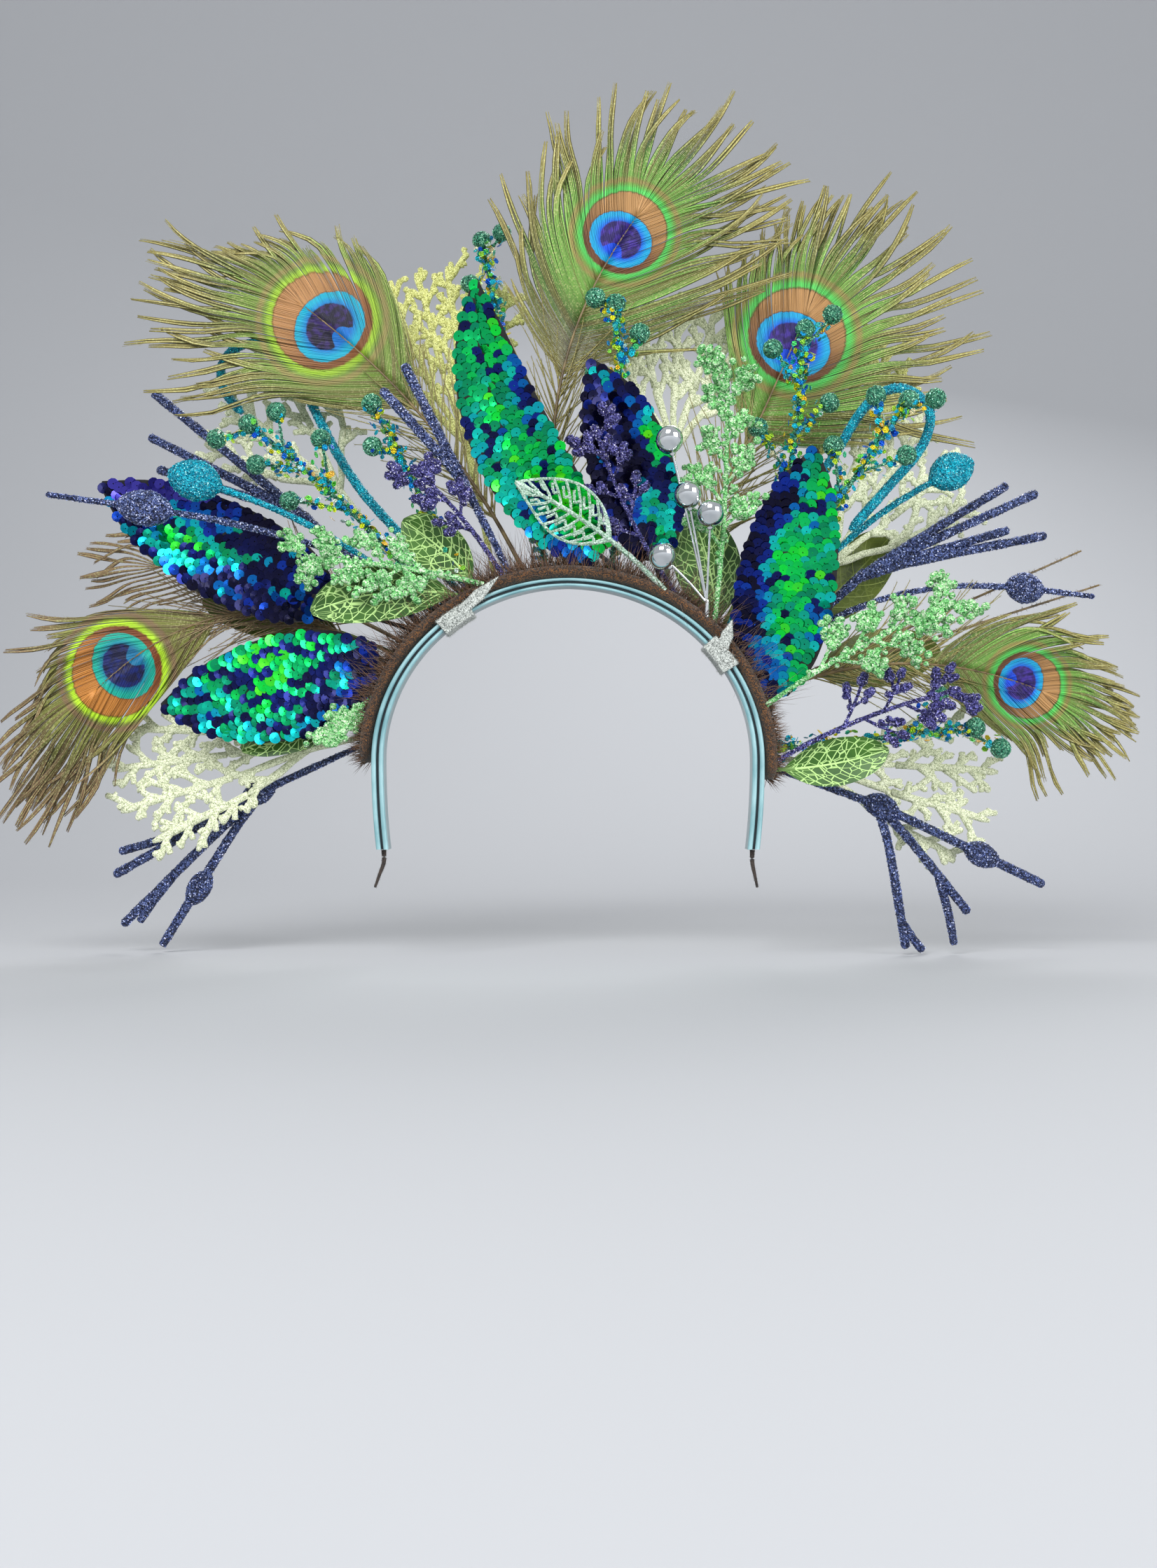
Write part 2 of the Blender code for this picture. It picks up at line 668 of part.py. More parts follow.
def make_tails():
    """The short flat tails that hang at the tips of the band."""
    for row in TAILS:
        x, z = crown_line(row.side * BAND_END, -band_thickness(BAND_END) / 2)
        start = Vector((x, BAND_FRONT + BAND_DEPTH / 3, z - CLEARANCE))
        angle = math.radians(row.lean)
        rings = []
        for share in (0.0, 0.35, 0.7, 1.0):
            drop = TAIL_LENGTH * share
            centre = start + Vector((math.sin(angle) * drop * share, 0, -drop))
            half = TAIL_WIDTH / 2 * (1 - 0.5 * share)
            rings.append([centre + Vector((dx * half, dy * TAIL_THICKNESS / 2, 0))
                          for dx, dy in ((1, 1), (1, -1), (-1, -1), (-1, 1))])
        finish(loft(rings, row.name), "tail")


# The pieces of the fan

def feather_shapes(row):
    """A quill, and a vane whose barbs are gathered in locks down both sides."""
    seat = Seat(row)
    quill_end = 1.0 + QUILL_PAST_EYE * row.eye / row.length
    vane_start = 1.0 - row.vane_base / row.length
    verts = []
    faces = []

    def add(point, share_out):
        room = seat.room(point.x, point.y) - VANE_THICKNESS / 2
        verts.append(Vector((point.x, point.y, row.cup * room * share_out)))
        return len(verts) - 1

    def edge_lines(side):
        lines = []
        for index in range(LOCKS_A_SIDE + 1):
            share = index / LOCKS_A_SIDE
            at = vane_start + (quill_end - vane_start) * share
            splay_base = row.splay_right if side == 1 else row.splay_left
            splay = math.radians(splay_base + (row.splay_tip - splay_base) * share)
            angle = bowed_heading(row.bow, at) + side * splay
            reach = row.barb_right if side == 1 else row.barb_left
            length = reach * (0.85 + 0.25 * share - 0.42 * share * share)
            lines.append((bowed(row.length, row.bow, at), angle, length))
        return lines

    def lock(valley_a, valley_b, line_a, line_b, stretch=1.0):
        """The free end of a lock between two barb lines: a narrowing strip and its point."""
        sides = [line[0] + towards(line[1], line[2] * KNOT_SHARE) for line in (line_a, line_b)]
        tips = [line[0] + towards(line[1], line[2] * stretch) for line in (line_a, line_b)]
        apart = max((sides[1] - sides[0]).length, LOCK_WIDTH / 2)
        share = min(LOCK_WIDTH / apart, LOCK_FILL) / 2
        low = add(sides[0].lerp(sides[1], 0.5 - share), KNOT_SHARE)
        high = add(sides[0].lerp(sides[1], 0.5 + share), KNOT_SHARE)
        tip = add(tips[0].lerp(tips[1], 0.5), 1.0)
        faces.append((valley_a, low, high, valley_b))
        faces.append((low, tip, high))

    quill_points = [add(line[0], 0.0) for line in edge_lines(1)]
    valleys = {}
    for side in (1, -1):
        lines = edge_lines(side)
        valleys[side] = [add(root + towards(angle, length * VALLEY_SHARE), VALLEY_SHARE)
                         for root, angle, length in lines]
        for index in range(LOCKS_A_SIDE):
            inner = (quill_points[index], quill_points[index + 1])
            outer = (valleys[side][index], valleys[side][index + 1])
            if side == 1:
                faces.append((inner[0], inner[1], outer[1], outer[0]))
                lock(outer[1], outer[0], lines[index + 1], lines[index])
            else:
                faces.append((inner[0], outer[0], outer[1], inner[1]))
                lock(outer[0], outer[1], lines[index], lines[index + 1])
    faces.append((quill_points[-1], valleys[-1][-1], valleys[1][-1]))
    lock(valleys[-1][-1], valleys[1][-1], edge_lines(-1)[-1], edge_lines(1)[-1], TIP_STRETCH)

    quill_shown = vane_start + (quill_end - vane_start) * QUILL_IN_VANE
    route = [bowed(row.length, row.bow, share) for share in stations(0.0, quill_shown, 6)]
    return [limb(route, QUILL_ROOT_RADIUS, QUILL_TIP_RADIUS), slab(verts, faces, VANE_THICKNESS)]


def blade_shapes(row):
    """A leaf on its stalk, folded along its middle."""
    seat = Seat(row)
    thickness = PLAIN_LEAF_THICKNESS
    lanes = (-1.0, 0.0, 1.0)
    outline = PLAIN_OUTLINE
    if "sequin" in row.kind:
        thickness = SEQUIN_LEAF_THICKNESS
        lanes = (-1.0, -0.5, 0.0, 0.5, 1.0)
        outline = SEQUIN_OUTLINE
    sections = [(0.0, 0.0)]
    sections += [(row.stalk + (1 - row.stalk) * along, width) for along, width in outline]
    verts = []
    for share, width in sections:
        centre = bowed(row.length, row.bow, share)
        angle = bowed_heading(row.bow, share) + math.pi / 2
        for lane in lanes:
            side = row.right if lane > 0 else row.left
            half = max(width * side, LEAF_STALK_WIDTH / 2)
            point = centre + towards(angle, half * lane)
            room = seat.room(point.x, point.y) - thickness / 2
            lift = row.fold * room * (1 - 2 * abs(lane)) * min(width * 1.2, 1.0)
            verts.append(Vector((point.x, point.y, lift)))
    faces = []
    count = len(lanes)
    for section in range(len(sections) - 1):
        for lane in range(count - 1):
            here = section * count + lane
            faces.append((here, here + count, here + count + 1, here + 1))
    return [slab(verts, faces, thickness)]


def limb(points, start_radius, end_radius, sides=5):
    """A branch that tapers evenly along its points."""
    last = len(points) - 1
    radii = [start_radius + (end_radius - start_radius) * index / last for index in range(last + 1)]
    return tube(points, radii, sides)


def bud_shape(centre, angle, length, width, room, sides=9):
    """A turned bud, pressed in depth where its row is tight."""
    points = [centre + towards(angle, length * along) for along, _ in BUD_PROFILE]
    radii = [width / 2 * radius for _, radius in BUD_PROFILE]
    return flatten(tube(points, radii, sides), min(1.0, room / (width / 2)))


def twig_shapes(row):
    """A trunk that forks into a few straight, blunt twigs."""
    seat = Seat(row)
    fork = towards(math.radians(row.fork_heading - row.heading), row.length * row.fork_share)
    tight = min(TWIG_RADIUS, seat.room(fork.x * 0.5, fork.y * 0.5))
    shapes = [limb([Vector((0, 0, 0)), fork * 0.5, fork * 1.04], STEM_WIDTH / 2, tight, 6)]
    for index, (heading, share) in enumerate(row.tips):
        tip = towards(math.radians(heading), row.length * share)
        elbow = fork.lerp(tip, 0.3) + (fork.lerp(tip, 0.3) - tip * 0.62) * 0.06
        start = fork * 0.97
        radius = TWIG_RADIUS * 0.8
        shapes.append(limb([start, elbow, tip], radius, TWIG_RADIUS * 0.62, 6))
        if index == row.bud_tip:
            centre = fork.lerp(tip, 0.62)
            along = math.atan2(tip.y - elbow.y, tip.x - elbow.x)
            room = seat.room(centre.x, centre.y)
            shapes.append(bud_shape(centre, along, TWIG_BUD_LENGTH, TWIG_BUD_WIDTH, room, 8))
    return shapes


def bud_shapes(row):
    """A bud on a thin stem, with a stick past it on the navy ones."""
    seat = Seat(row)
    centre = bowed(row.length, row.bow, 1.0)
    angle = bowed_heading(row.bow, 1.0)
    stem = [bowed(row.length, row.bow, share) for share in stations(0.0, 1.0, 6)]
    room = seat.room(centre.x, centre.y)
    shapes = [limb(stem, STEM_WIDTH / 2, BUD_STEM_RADIUS, 6),
              bud_shape(centre, angle, row.bud_length, row.bud_width, room)]
    if row.stick:
        end = centre + towards(angle, row.stick)
        shapes.append(limb([centre, end], BUD_STEM_RADIUS, BUD_STEM_RADIUS * 0.7, 6))
    return shapes


def curl_shapes(row):
    """A stem that hooks over at its end."""
    knots = [Vector((0, 0, 0))]
    knots += [Vector((along * row.length, side * row.length, 0)) for along, side in row.route]
    route = smooth_route(knots, 2)
    radii = [min(STEM_WIDTH / 2 + (CURL_RADIUS - STEM_WIDTH / 2) * index / 4, CURL_RADIUS)
             for index in range(len(route))]
    return [tube(route, radii, 6)]


def sprig_shapes(row):
    """A stem with side branches, each ending in a berry."""
    seat = Seat(row)
    habit = HABITS[row.kind]
    spread = random.Random(row.name)
    route = [bowed(row.length, row.bow, share) for share in stations(0.0, 1.0, 5)]
    shapes = [limb(route, STEM_WIDTH / 2, habit.stem * 0.8, 4)]
    ends = [(route[-2], route[-1])]
    for index in range(row.count):
        share = row.first + (0.95 - row.first) * index / max(row.count - 1, 1)
        root = bowed(row.length, row.bow, share)
        side = 1 if index % 2 else -1
        angle = bowed_heading(row.bow, share) + side * math.radians(habit.angle)
        angle += math.radians(spread.uniform(-7, 7))
        length = row.length * row.reach * (1.25 - 0.55 * share) * spread.uniform(0.85, 1.1)
        ends.append((root, root + towards(angle, length)))
    for root, tip in ends:
        radius = min(habit.berry, seat.room(tip.x, tip.y))
        if row.kind == "berry":
            shapes.append(limb([root, tip], habit.stem * 0.85, habit.stem * 0.7, 4))
            shapes.append(ball(tip, (tip - root).normalized(), radius, 1.0, 8, BERRY_RINGS))
        else:
            start = root.lerp(tip, 0.8) if tip == route[-1] else root
            shapes.append(club(start, tip, habit.stem * 0.8, radius, habit.stretch, 4))
    return shapes


def coral_shapes(row):
    """A flat fan of limbs with short side twigs, open between them."""
    spread = random.Random(row.name)
    fork = bowed(row.length, row.bow, row.trunk)
    shapes = [limb([Vector((0, 0, 0)), fork], STEM_WIDTH / 2, CORAL_RADIUS * 1.1, 4)]
    for index in range(row.limbs):
        part = index / (row.limbs - 1) * 2 - 1
        angle = math.radians(part * row.spread)
        length = row.length * (1 - row.trunk) * (1 - 0.12 * abs(part))
        elbow = fork + towards(angle * 1.3, length * 0.4)
        tip = elbow + towards(angle * 0.7, length * 0.6)
        base = fork - towards(0, length * 0.02 * (1 + index))
        shapes.append(limb([base, elbow, tip], CORAL_RADIUS, CORAL_RADIUS * 0.8, 4))
        for along, reach, side in CORAL_TWIGS:
            if along < 0.4:
                root = base.lerp(elbow, along / 0.4)
            else:
                root = elbow.lerp(tip, (along - 0.4) / 0.6)
            side *= 1 if index % 2 else -1
            turn = angle + side * math.radians(38 + spread.uniform(-5, 5))
            end = root + towards(turn, length * reach)
            shapes.append(limb([root, end], CORAL_RADIUS * 0.9, CORAL_RADIUS * 0.75, 4))
    return shapes


def skeleton_shapes(row):
    """A leaf of ribs only: a rim, a midrib and pairs of veins with open gaps."""
    half = row.width / 2
    base = row.stalk
    midrib = [bowed(row.length, row.bow, share) for share in stations(0.0, 1.0, 6)]
    shapes = [limb(midrib, STEM_WIDTH / 2, SKELETON_RIB_RADIUS, 4)]

    def rim_point(along, side):
        share = base + (1 - base) * along
        width = half * math.sin(math.pi * along ** 0.85)
        turn = bowed_heading(row.bow, share) + math.pi / 2
        return bowed(row.length, row.bow, share) + towards(turn, side * width)

    for side in (1, -1):
        rim = [rim_point(along, side) for along in (0.0, 0.12, 0.3, 0.5, 0.7, 0.88, 1.0)]
        shapes.append(limb(rim, SKELETON_RIB_RADIUS, SKELETON_RIB_RADIUS, 4))
        for index in range(row.veins):
            along = 0.1 + 0.66 * index / (row.veins - 1)
            root = bowed(row.length, row.bow, base + (1 - base) * along)
            end = rim_point(min(along + 0.16, 0.96), side)
            shapes.append(limb([root, end], SKELETON_RIB_RADIUS * 0.8, SKELETON_RIB_RADIUS * 0.7, 4))
    return shapes


def silver_shapes(row):
    """Mirror balls on wires from one short stem, standing forward of the row."""
    seat = Seat(row)
    root = Vector((PICK_STEM, 0, 0))
    shapes = [limb([Vector((0, 0, 0)), root], STEM_WIDTH / 2, STEM_WIDTH / 2)]
    for spot in BALLS:
        end = towards(math.radians(spot.heading), spot.distance)
        room = seat.room(end.x, end.y)
        forward = Vector((0, 0, min(room - BALL_RADIUS, 0)))
        wire = [root * 0.8, root.lerp(end, 0.4) + forward * 0.3, end + forward]
        shapes.append(limb(wire, WIRE_RADIUS, WIRE_RADIUS, 4))
        along = towards(math.radians(spot.heading), 1.0)
        shapes.append(ball(end + forward, along, BALL_RADIUS, 1.0, 10))
    return shapes


def quill_shapes(row):
    """Two stripped quills from one root, tapering to their tips."""
    root = Vector((PICK_STEM, 0, 0))
    shapes = [limb([Vector((0, 0, 0)), root], STEM_WIDTH / 2, STEM_WIDTH / 2)]
    for quill in QUILLS:
        tip = towards(math.radians(quill.heading), quill.distance)
        shapes.append(limb([root * 0.8, tip], STEM_WIDTH / 3, WIRE_RADIUS))
    return shapes


def make_fan(pad_cutter):
    """Every piece of the fan, from its table and its own way of making."""
    for row in FEATHERS:
        fan_piece(row, feather_shapes(row), "feather", pad_cutter)
    for row in LEAVES:
        fan_piece(row, blade_shapes(row), row.kind, pad_cutter)
    for row in TWIGS:
        fan_piece(row, twig_shapes(row), "navy", pad_cutter)
    for row in BUDS:
        fan_piece(row, bud_shapes(row), row.kind, pad_cutter)
    for row in CURLS:
        fan_piece(row, curl_shapes(row), "turquoise", pad_cutter)
    for row in SPRIGS:
        fan_piece(row, sprig_shapes(row), row.kind, pad_cutter)
    for row in CORALS:
        fan_piece(row, coral_shapes(row), row.kind, pad_cutter)
    fan_piece(SKELETON, skeleton_shapes(SKELETON), "mint", pad_cutter)
    fan_piece(SILVER_PICK, silver_shapes(SILVER_PICK), "silver", pad_cutter)
    fan_piece(BARE_QUILLS, quill_shapes(BARE_QUILLS), "quill", pad_cutter)


def main():
    for item in list(bpy.data.objects):
        bpy.data.objects.remove(item)
    make_band()
    wrap_seats = make_wraps()
    pad = loft(pad_rings(0.0), "base_pad")
    for seat in wrap_seats:
        cut(pad, seat)
    finish(pad, "pad")
    pad_cutter = as_cutter(loft(pad_rings(CLEARANCE), "pad_clearance"))
    make_tails()
    make_fan(pad_cutter)


main()
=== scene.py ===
# %% [markdown]
# # A feather headdress
#
# The real piece starts with a satin headband. A crescent pad is bound on top of it, and every
# feather, leaf and glitter sprig is glued into that pad by its own stem, so that the whole fan
# grows out of one line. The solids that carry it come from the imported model. Here each of them
# is dressed: barbs, sequins, flocking and glitter are modelled once as tiny pieces and then
# laid out by the hundred, because that is how the real ones are made.
# Lengths are in millimetres and become metres when a mesh is built.

import math
import random
import zlib

import bpy
import numpy as np
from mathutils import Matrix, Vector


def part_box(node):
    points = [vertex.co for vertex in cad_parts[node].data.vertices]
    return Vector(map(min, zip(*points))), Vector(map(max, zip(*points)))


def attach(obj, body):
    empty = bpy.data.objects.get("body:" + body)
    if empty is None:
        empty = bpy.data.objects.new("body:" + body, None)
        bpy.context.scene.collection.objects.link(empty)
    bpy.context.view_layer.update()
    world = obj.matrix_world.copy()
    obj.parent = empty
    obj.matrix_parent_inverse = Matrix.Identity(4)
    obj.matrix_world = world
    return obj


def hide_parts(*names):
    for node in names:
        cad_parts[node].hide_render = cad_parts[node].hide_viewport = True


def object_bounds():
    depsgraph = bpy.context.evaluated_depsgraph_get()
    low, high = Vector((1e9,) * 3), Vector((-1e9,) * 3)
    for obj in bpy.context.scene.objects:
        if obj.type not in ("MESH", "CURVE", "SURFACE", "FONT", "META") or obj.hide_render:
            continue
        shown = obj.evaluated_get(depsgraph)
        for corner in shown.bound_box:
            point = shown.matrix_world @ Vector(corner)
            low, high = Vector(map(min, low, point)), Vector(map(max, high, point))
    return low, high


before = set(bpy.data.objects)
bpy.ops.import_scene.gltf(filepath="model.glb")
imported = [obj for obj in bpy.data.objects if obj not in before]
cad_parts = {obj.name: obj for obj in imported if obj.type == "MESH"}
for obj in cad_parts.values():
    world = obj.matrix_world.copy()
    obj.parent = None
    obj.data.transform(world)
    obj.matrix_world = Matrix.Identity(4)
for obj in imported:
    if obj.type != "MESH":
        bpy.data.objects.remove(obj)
solid_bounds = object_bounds()
MM = 0.001
bpy.ops.object.select_all(action="DESELECT")
print("loaded", len(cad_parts), "solids")

# %% [markdown]
# ## Camera, floor and light
#
# The photograph was taken level, from straight in front of the face. A longer lens further away
# would flatten the fan, so the distance was worked out from the spread of the legs. The studio is
# a pale sweep, a floor that curves up behind, so that no horizon cuts through the feathers.

# %% The camera
CAMERA_AT = (4.2, -810.0, -78.8)
CAMERA_LENS = 30.6
SENSOR_HEIGHT = 24.0

bpy.ops.object.camera_add(location=[value * MM for value in CAMERA_AT],
                          rotation=(math.radians(90), 0, 0))
camera = bpy.context.object
camera.name = "camera"
camera.data.sensor_fit = "VERTICAL"
camera.data.sensor_height = SENSOR_HEIGHT
camera.data.lens = CAMERA_LENS
camera.data.clip_start = 0.01
bpy.context.scene.camera = camera
print("camera at", CAMERA_AT, "mm")

# %% Small helpers for modelling by hand


def rest():
    """Leave edit mode and select nothing."""
    if bpy.context.object and bpy.context.object.mode != "OBJECT":
        bpy.ops.object.mode_set(mode="OBJECT")
    bpy.ops.object.select_all(action="DESELECT")


def seed_of(name):
    """The same random draws each run, and other ones for each piece."""
    return np.random.default_rng(zlib.crc32(name.encode()))


def unit(vectors):
    return vectors / np.maximum(np.linalg.norm(vectors, axis=-1, keepdims=True), 1e-9)


def smooth_step(values, low, high):
    share = np.clip((values - low) / (high - low), 0, 1)
    return share * share * (3 - 2 * share)


# %% The studio sweep and its lamps
SWEEP_WIDTH = 6.0
SWEEP_FRONT = -3.0
SWEEP_BACK = 1.6
SWEEP_HEIGHT = 2.6

rest()
floor_height = solid_bounds[0].z - 0.002
bpy.ops.mesh.primitive_plane_add(size=1, location=(0, 0, 0))
sweep = bpy.context.object
sweep.name = "studio_sweep"
for vert in sweep.data.vertices:
    vert.co.x *= SWEEP_WIDTH
    vert.co.y = SWEEP_FRONT if vert.co.y < 0 else SWEEP_BACK
    vert.co.z = floor_height
back_number = next(edge.index for edge in sweep.data.edges
                   if all(sweep.data.vertices[index].co.y > 0 for index in edge.vertices))
bpy.ops.object.mode_set(mode="EDIT")
bpy.ops.mesh.select_all(action="DESELECT")
bpy.ops.object.mode_set(mode="OBJECT")
# Leaving edit mode builds the mesh anew, so the edge is looked up again by its number
back_edge = sweep.data.edges[back_number]
for index in back_edge.vertices:
    sweep.data.vertices[index].select = True
back_edge.select = True
bpy.ops.object.mode_set(mode="EDIT")
bpy.ops.mesh.extrude_region_move(TRANSFORM_OT_translate={"value": (0, 0, SWEEP_HEIGHT)})
bpy.ops.object.mode_set(mode="OBJECT")
bend = sweep.modifiers.new("curve", "BEVEL")
bend.width = 1.0
bend.segments = 16
bpy.context.view_layer.objects.active = sweep
bpy.ops.object.modifier_apply(modifier="curve")
sweep.data.shade_smooth()
paper = bpy.data.materials.new("studio paper")
paper.use_nodes = True
paper_shader = paper.node_tree.nodes["Principled BSDF"]
paper_shader.inputs["Base Color"].default_value = (0.43, 0.44, 0.46, 1)
paper_shader.inputs["Roughness"].default_value = 0.9
sweep.data.materials.append(paper)


def lamp(name, place, aim, size, power):
    """A square soft box that faces a point."""
    bpy.ops.object.light_add(type="AREA", location=place)
    light = bpy.context.object
    light.name = name
    light.data.size = size
    light.data.energy = power
    direction = np.array(aim) - np.array(place)
    light.rotation_euler = (math.atan2(math.hypot(direction[0], direction[1]), -direction[2]), 0,
                            math.atan2(direction[1], direction[0]) - math.pi / 2)


FAN_MIDDLE = (0.0, 0.0, 0.04)
lamp("key", (-0.55, -1.25, 0.95), FAN_MIDDLE, 0.9, 25)
lamp("fill", (1.1, -1.1, 0.2), FAN_MIDDLE, 1.0, 20)
lamp("rim", (0.3, 1.1, 0.9), FAN_MIDDLE, 0.7, 9)
world = bpy.data.worlds.new("studio air")
bpy.context.scene.world = world
world.use_nodes = True
world.node_tree.nodes["Background"].inputs["Color"].default_value = (0.93, 0.96, 1.0, 1)
world.node_tree.nodes["Background"].inputs["Strength"].default_value = 0.52
bpy.context.scene.view_settings.view_transform = "Standard"
print("floor at", round(floor_height, 4), "m")

# %% [markdown]
# ## Where everything sits
#
# A wearer sees one curved line of stems. Each piece has a station along the crown, measured in
# degrees from the top, a row from front to back, and a heading, measured from straight up. A piece
# is modelled flat, with u along its stem, v to its right and w towards the back, and is then laid
# on its row's own leaning surface. Rows never cross, so the pieces overlap without touching.

# %% The crown line and the rows
HEAD_HALF_WIDTH = 78.7
CROWN_RISE = 73.6
LEG_DROP = 35.0
LEG_PULL_IN = 2.0
SIDE_STATION = 90.0
BAND_THICKNESS_CROWN = 3.6
BAND_THICKNESS_LEG = 5.4
CLEARANCE = 0.3
PAD_OUTER = 5.9
STEM_WIDTH = 2.2
PITCH = 3.0
LAST_ROW = 9
FRONT_LEAN = -16.0
BACK_LEAN = 18.0
ROOT_SINK = 1.5
CROWN_CENTRE = BAND_THICKNESS_CROWN - CROWN_RISE
FIRST_ROW_DEPTH = -LAST_ROW * PITCH * 0.3
PAD_FRONT = FIRST_ROW_DEPTH - STEM_WIDTH / 2 - 1.4
PAD_BACK = FIRST_ROW_DEPTH + LAST_ROW * PITCH + STEM_WIDTH / 2 + 1.4
BAND_FRONT = PAD_FRONT - 1.0
BAND_DEPTH = 14.0


def crown_line(stations, offset):
    """Points (x, z) along the crown and down its straight legs, offset outwards."""
    stations = np.asarray(stations, float)
    half_width = HEAD_HALF_WIDTH + offset
    angle = np.radians(np.clip(stations, -SIDE_STATION, SIDE_STATION))
    drop = np.maximum(np.abs(stations) - SIDE_STATION, 0)
    pull = LEG_PULL_IN * (drop / LEG_DROP) ** 2
    x = half_width * np.sin(angle) - np.sign(stations) * pull
    return x, CROWN_CENTRE + (CROWN_RISE + offset) * np.cos(angle) - drop


def distance_out(x, z):
    """How far points lie outside the pad's outer face."""
    half_width = HEAD_HALF_WIDTH + PAD_OUTER
    height = np.maximum(z - CROWN_CENTRE, 0)
    return np.maximum(np.hypot(x / half_width, height / (CROWN_RISE + PAD_OUTER)) - 1, 0) * half_width


def row_lean(row):
    return math.tan(math.radians(FRONT_LEAN + (BACK_LEAN - FRONT_LEAN) * row / LAST_ROW))


def row_depth(row, x, z):
    return FIRST_ROW_DEPTH + PITCH * row + row_lean(row) * distance_out(x, z)


class Seat:
    """Where a piece is glued on, and the surface that it lies on."""

    def __init__(self, row, station, heading, length, bow):
        self.row = row
        self.length = length
        self.bow = bow
        self.x, self.z = crown_line(station, PAD_OUTER - ROOT_SINK)
        self.sine = math.sin(math.radians(heading))
        self.cosine = math.cos(math.radians(heading))
        self.heading = heading

    def plan(self, u, v):
        return self.x + u * self.sine + v * self.cosine, self.z + u * self.cosine - v * self.sine

    def lay(self, flat):
        """Lay flat points (u, v, w) on the row's surface."""
        x, z = self.plan(flat[..., 0], flat[..., 1])
        return np.stack([x, row_depth(self.row, x, z) + flat[..., 2], z], axis=-1)

    def room(self, u, v):
        """Half of the depth that the row has to itself at a point."""
        step = (row_lean(LAST_ROW) - row_lean(0)) / LAST_ROW
        return (PITCH + step * distance_out(*self.plan(u, v)) - CLEARANCE) / 2

    def stem(self, share):
        """Flat points along the bowed stem."""
        share = np.asarray(share, float)
        side = 4 * self.bow * self.length * share * (1 - share)
        return np.stack([self.length * share, side, np.zeros_like(share)], axis=-1)

    def stem_angle(self, share):
        return np.arctan(4 * self.bow * (1 - 2 * np.asarray(share, float)))


def towards(angle, distance):
    """Flat steps at an angle from the heading."""
    angle, distance = np.broadcast_arrays(angle, distance)
    return np.stack([np.cos(angle) * distance, np.sin(angle) * distance, np.zeros_like(distance)],
                    axis=-1).astype(float)


print("pad from", round(PAD_FRONT, 1), "to", round(PAD_BACK, 1), "mm in depth")

# %% [markdown]
# ## Patterns
#
# Most of what shows is something small, repeated: a barb, a sequin, a flake. Each is modelled once
# with ordinary edit-mode tools and kept as a pattern. Copies are then bent along routes or set on
# surfaces, and joined into one mesh, which Blender handles far faster than thousands of objects.

# %% A pattern, and a heap of its copies


class Pattern:
    """The points and faces of a shape that has been modelled once.

    Extruding leaves them in another order on each run. They are sorted by place, so that the same
    random draw falls on the same spot each time."""

    def __init__(self, item):
        rest()
        points = np.array([vert.co[:] for vert in item.data.vertices])
        order = np.lexsort(points.round(6).T)
        number = np.argsort(order)
        self.points = points[order]
        faces = []
        for face in item.data.polygons:
            ring = [int(number[index]) for index in face.vertices]
            lowest = ring.index(min(ring))
            faces.append(ring[lowest:] + ring[:lowest])
        faces.sort()
        self.corners = np.concatenate(faces)
        self.inside_out = np.concatenate([ring[::-1] for ring in faces])
        self.sizes = np.array([len(ring) for ring in faces])
        self.fans = np.array([(first, one, two) for first, *others in faces
                              for one, two in zip(others, others[1:])])
        bpy.data.objects.remove(item)


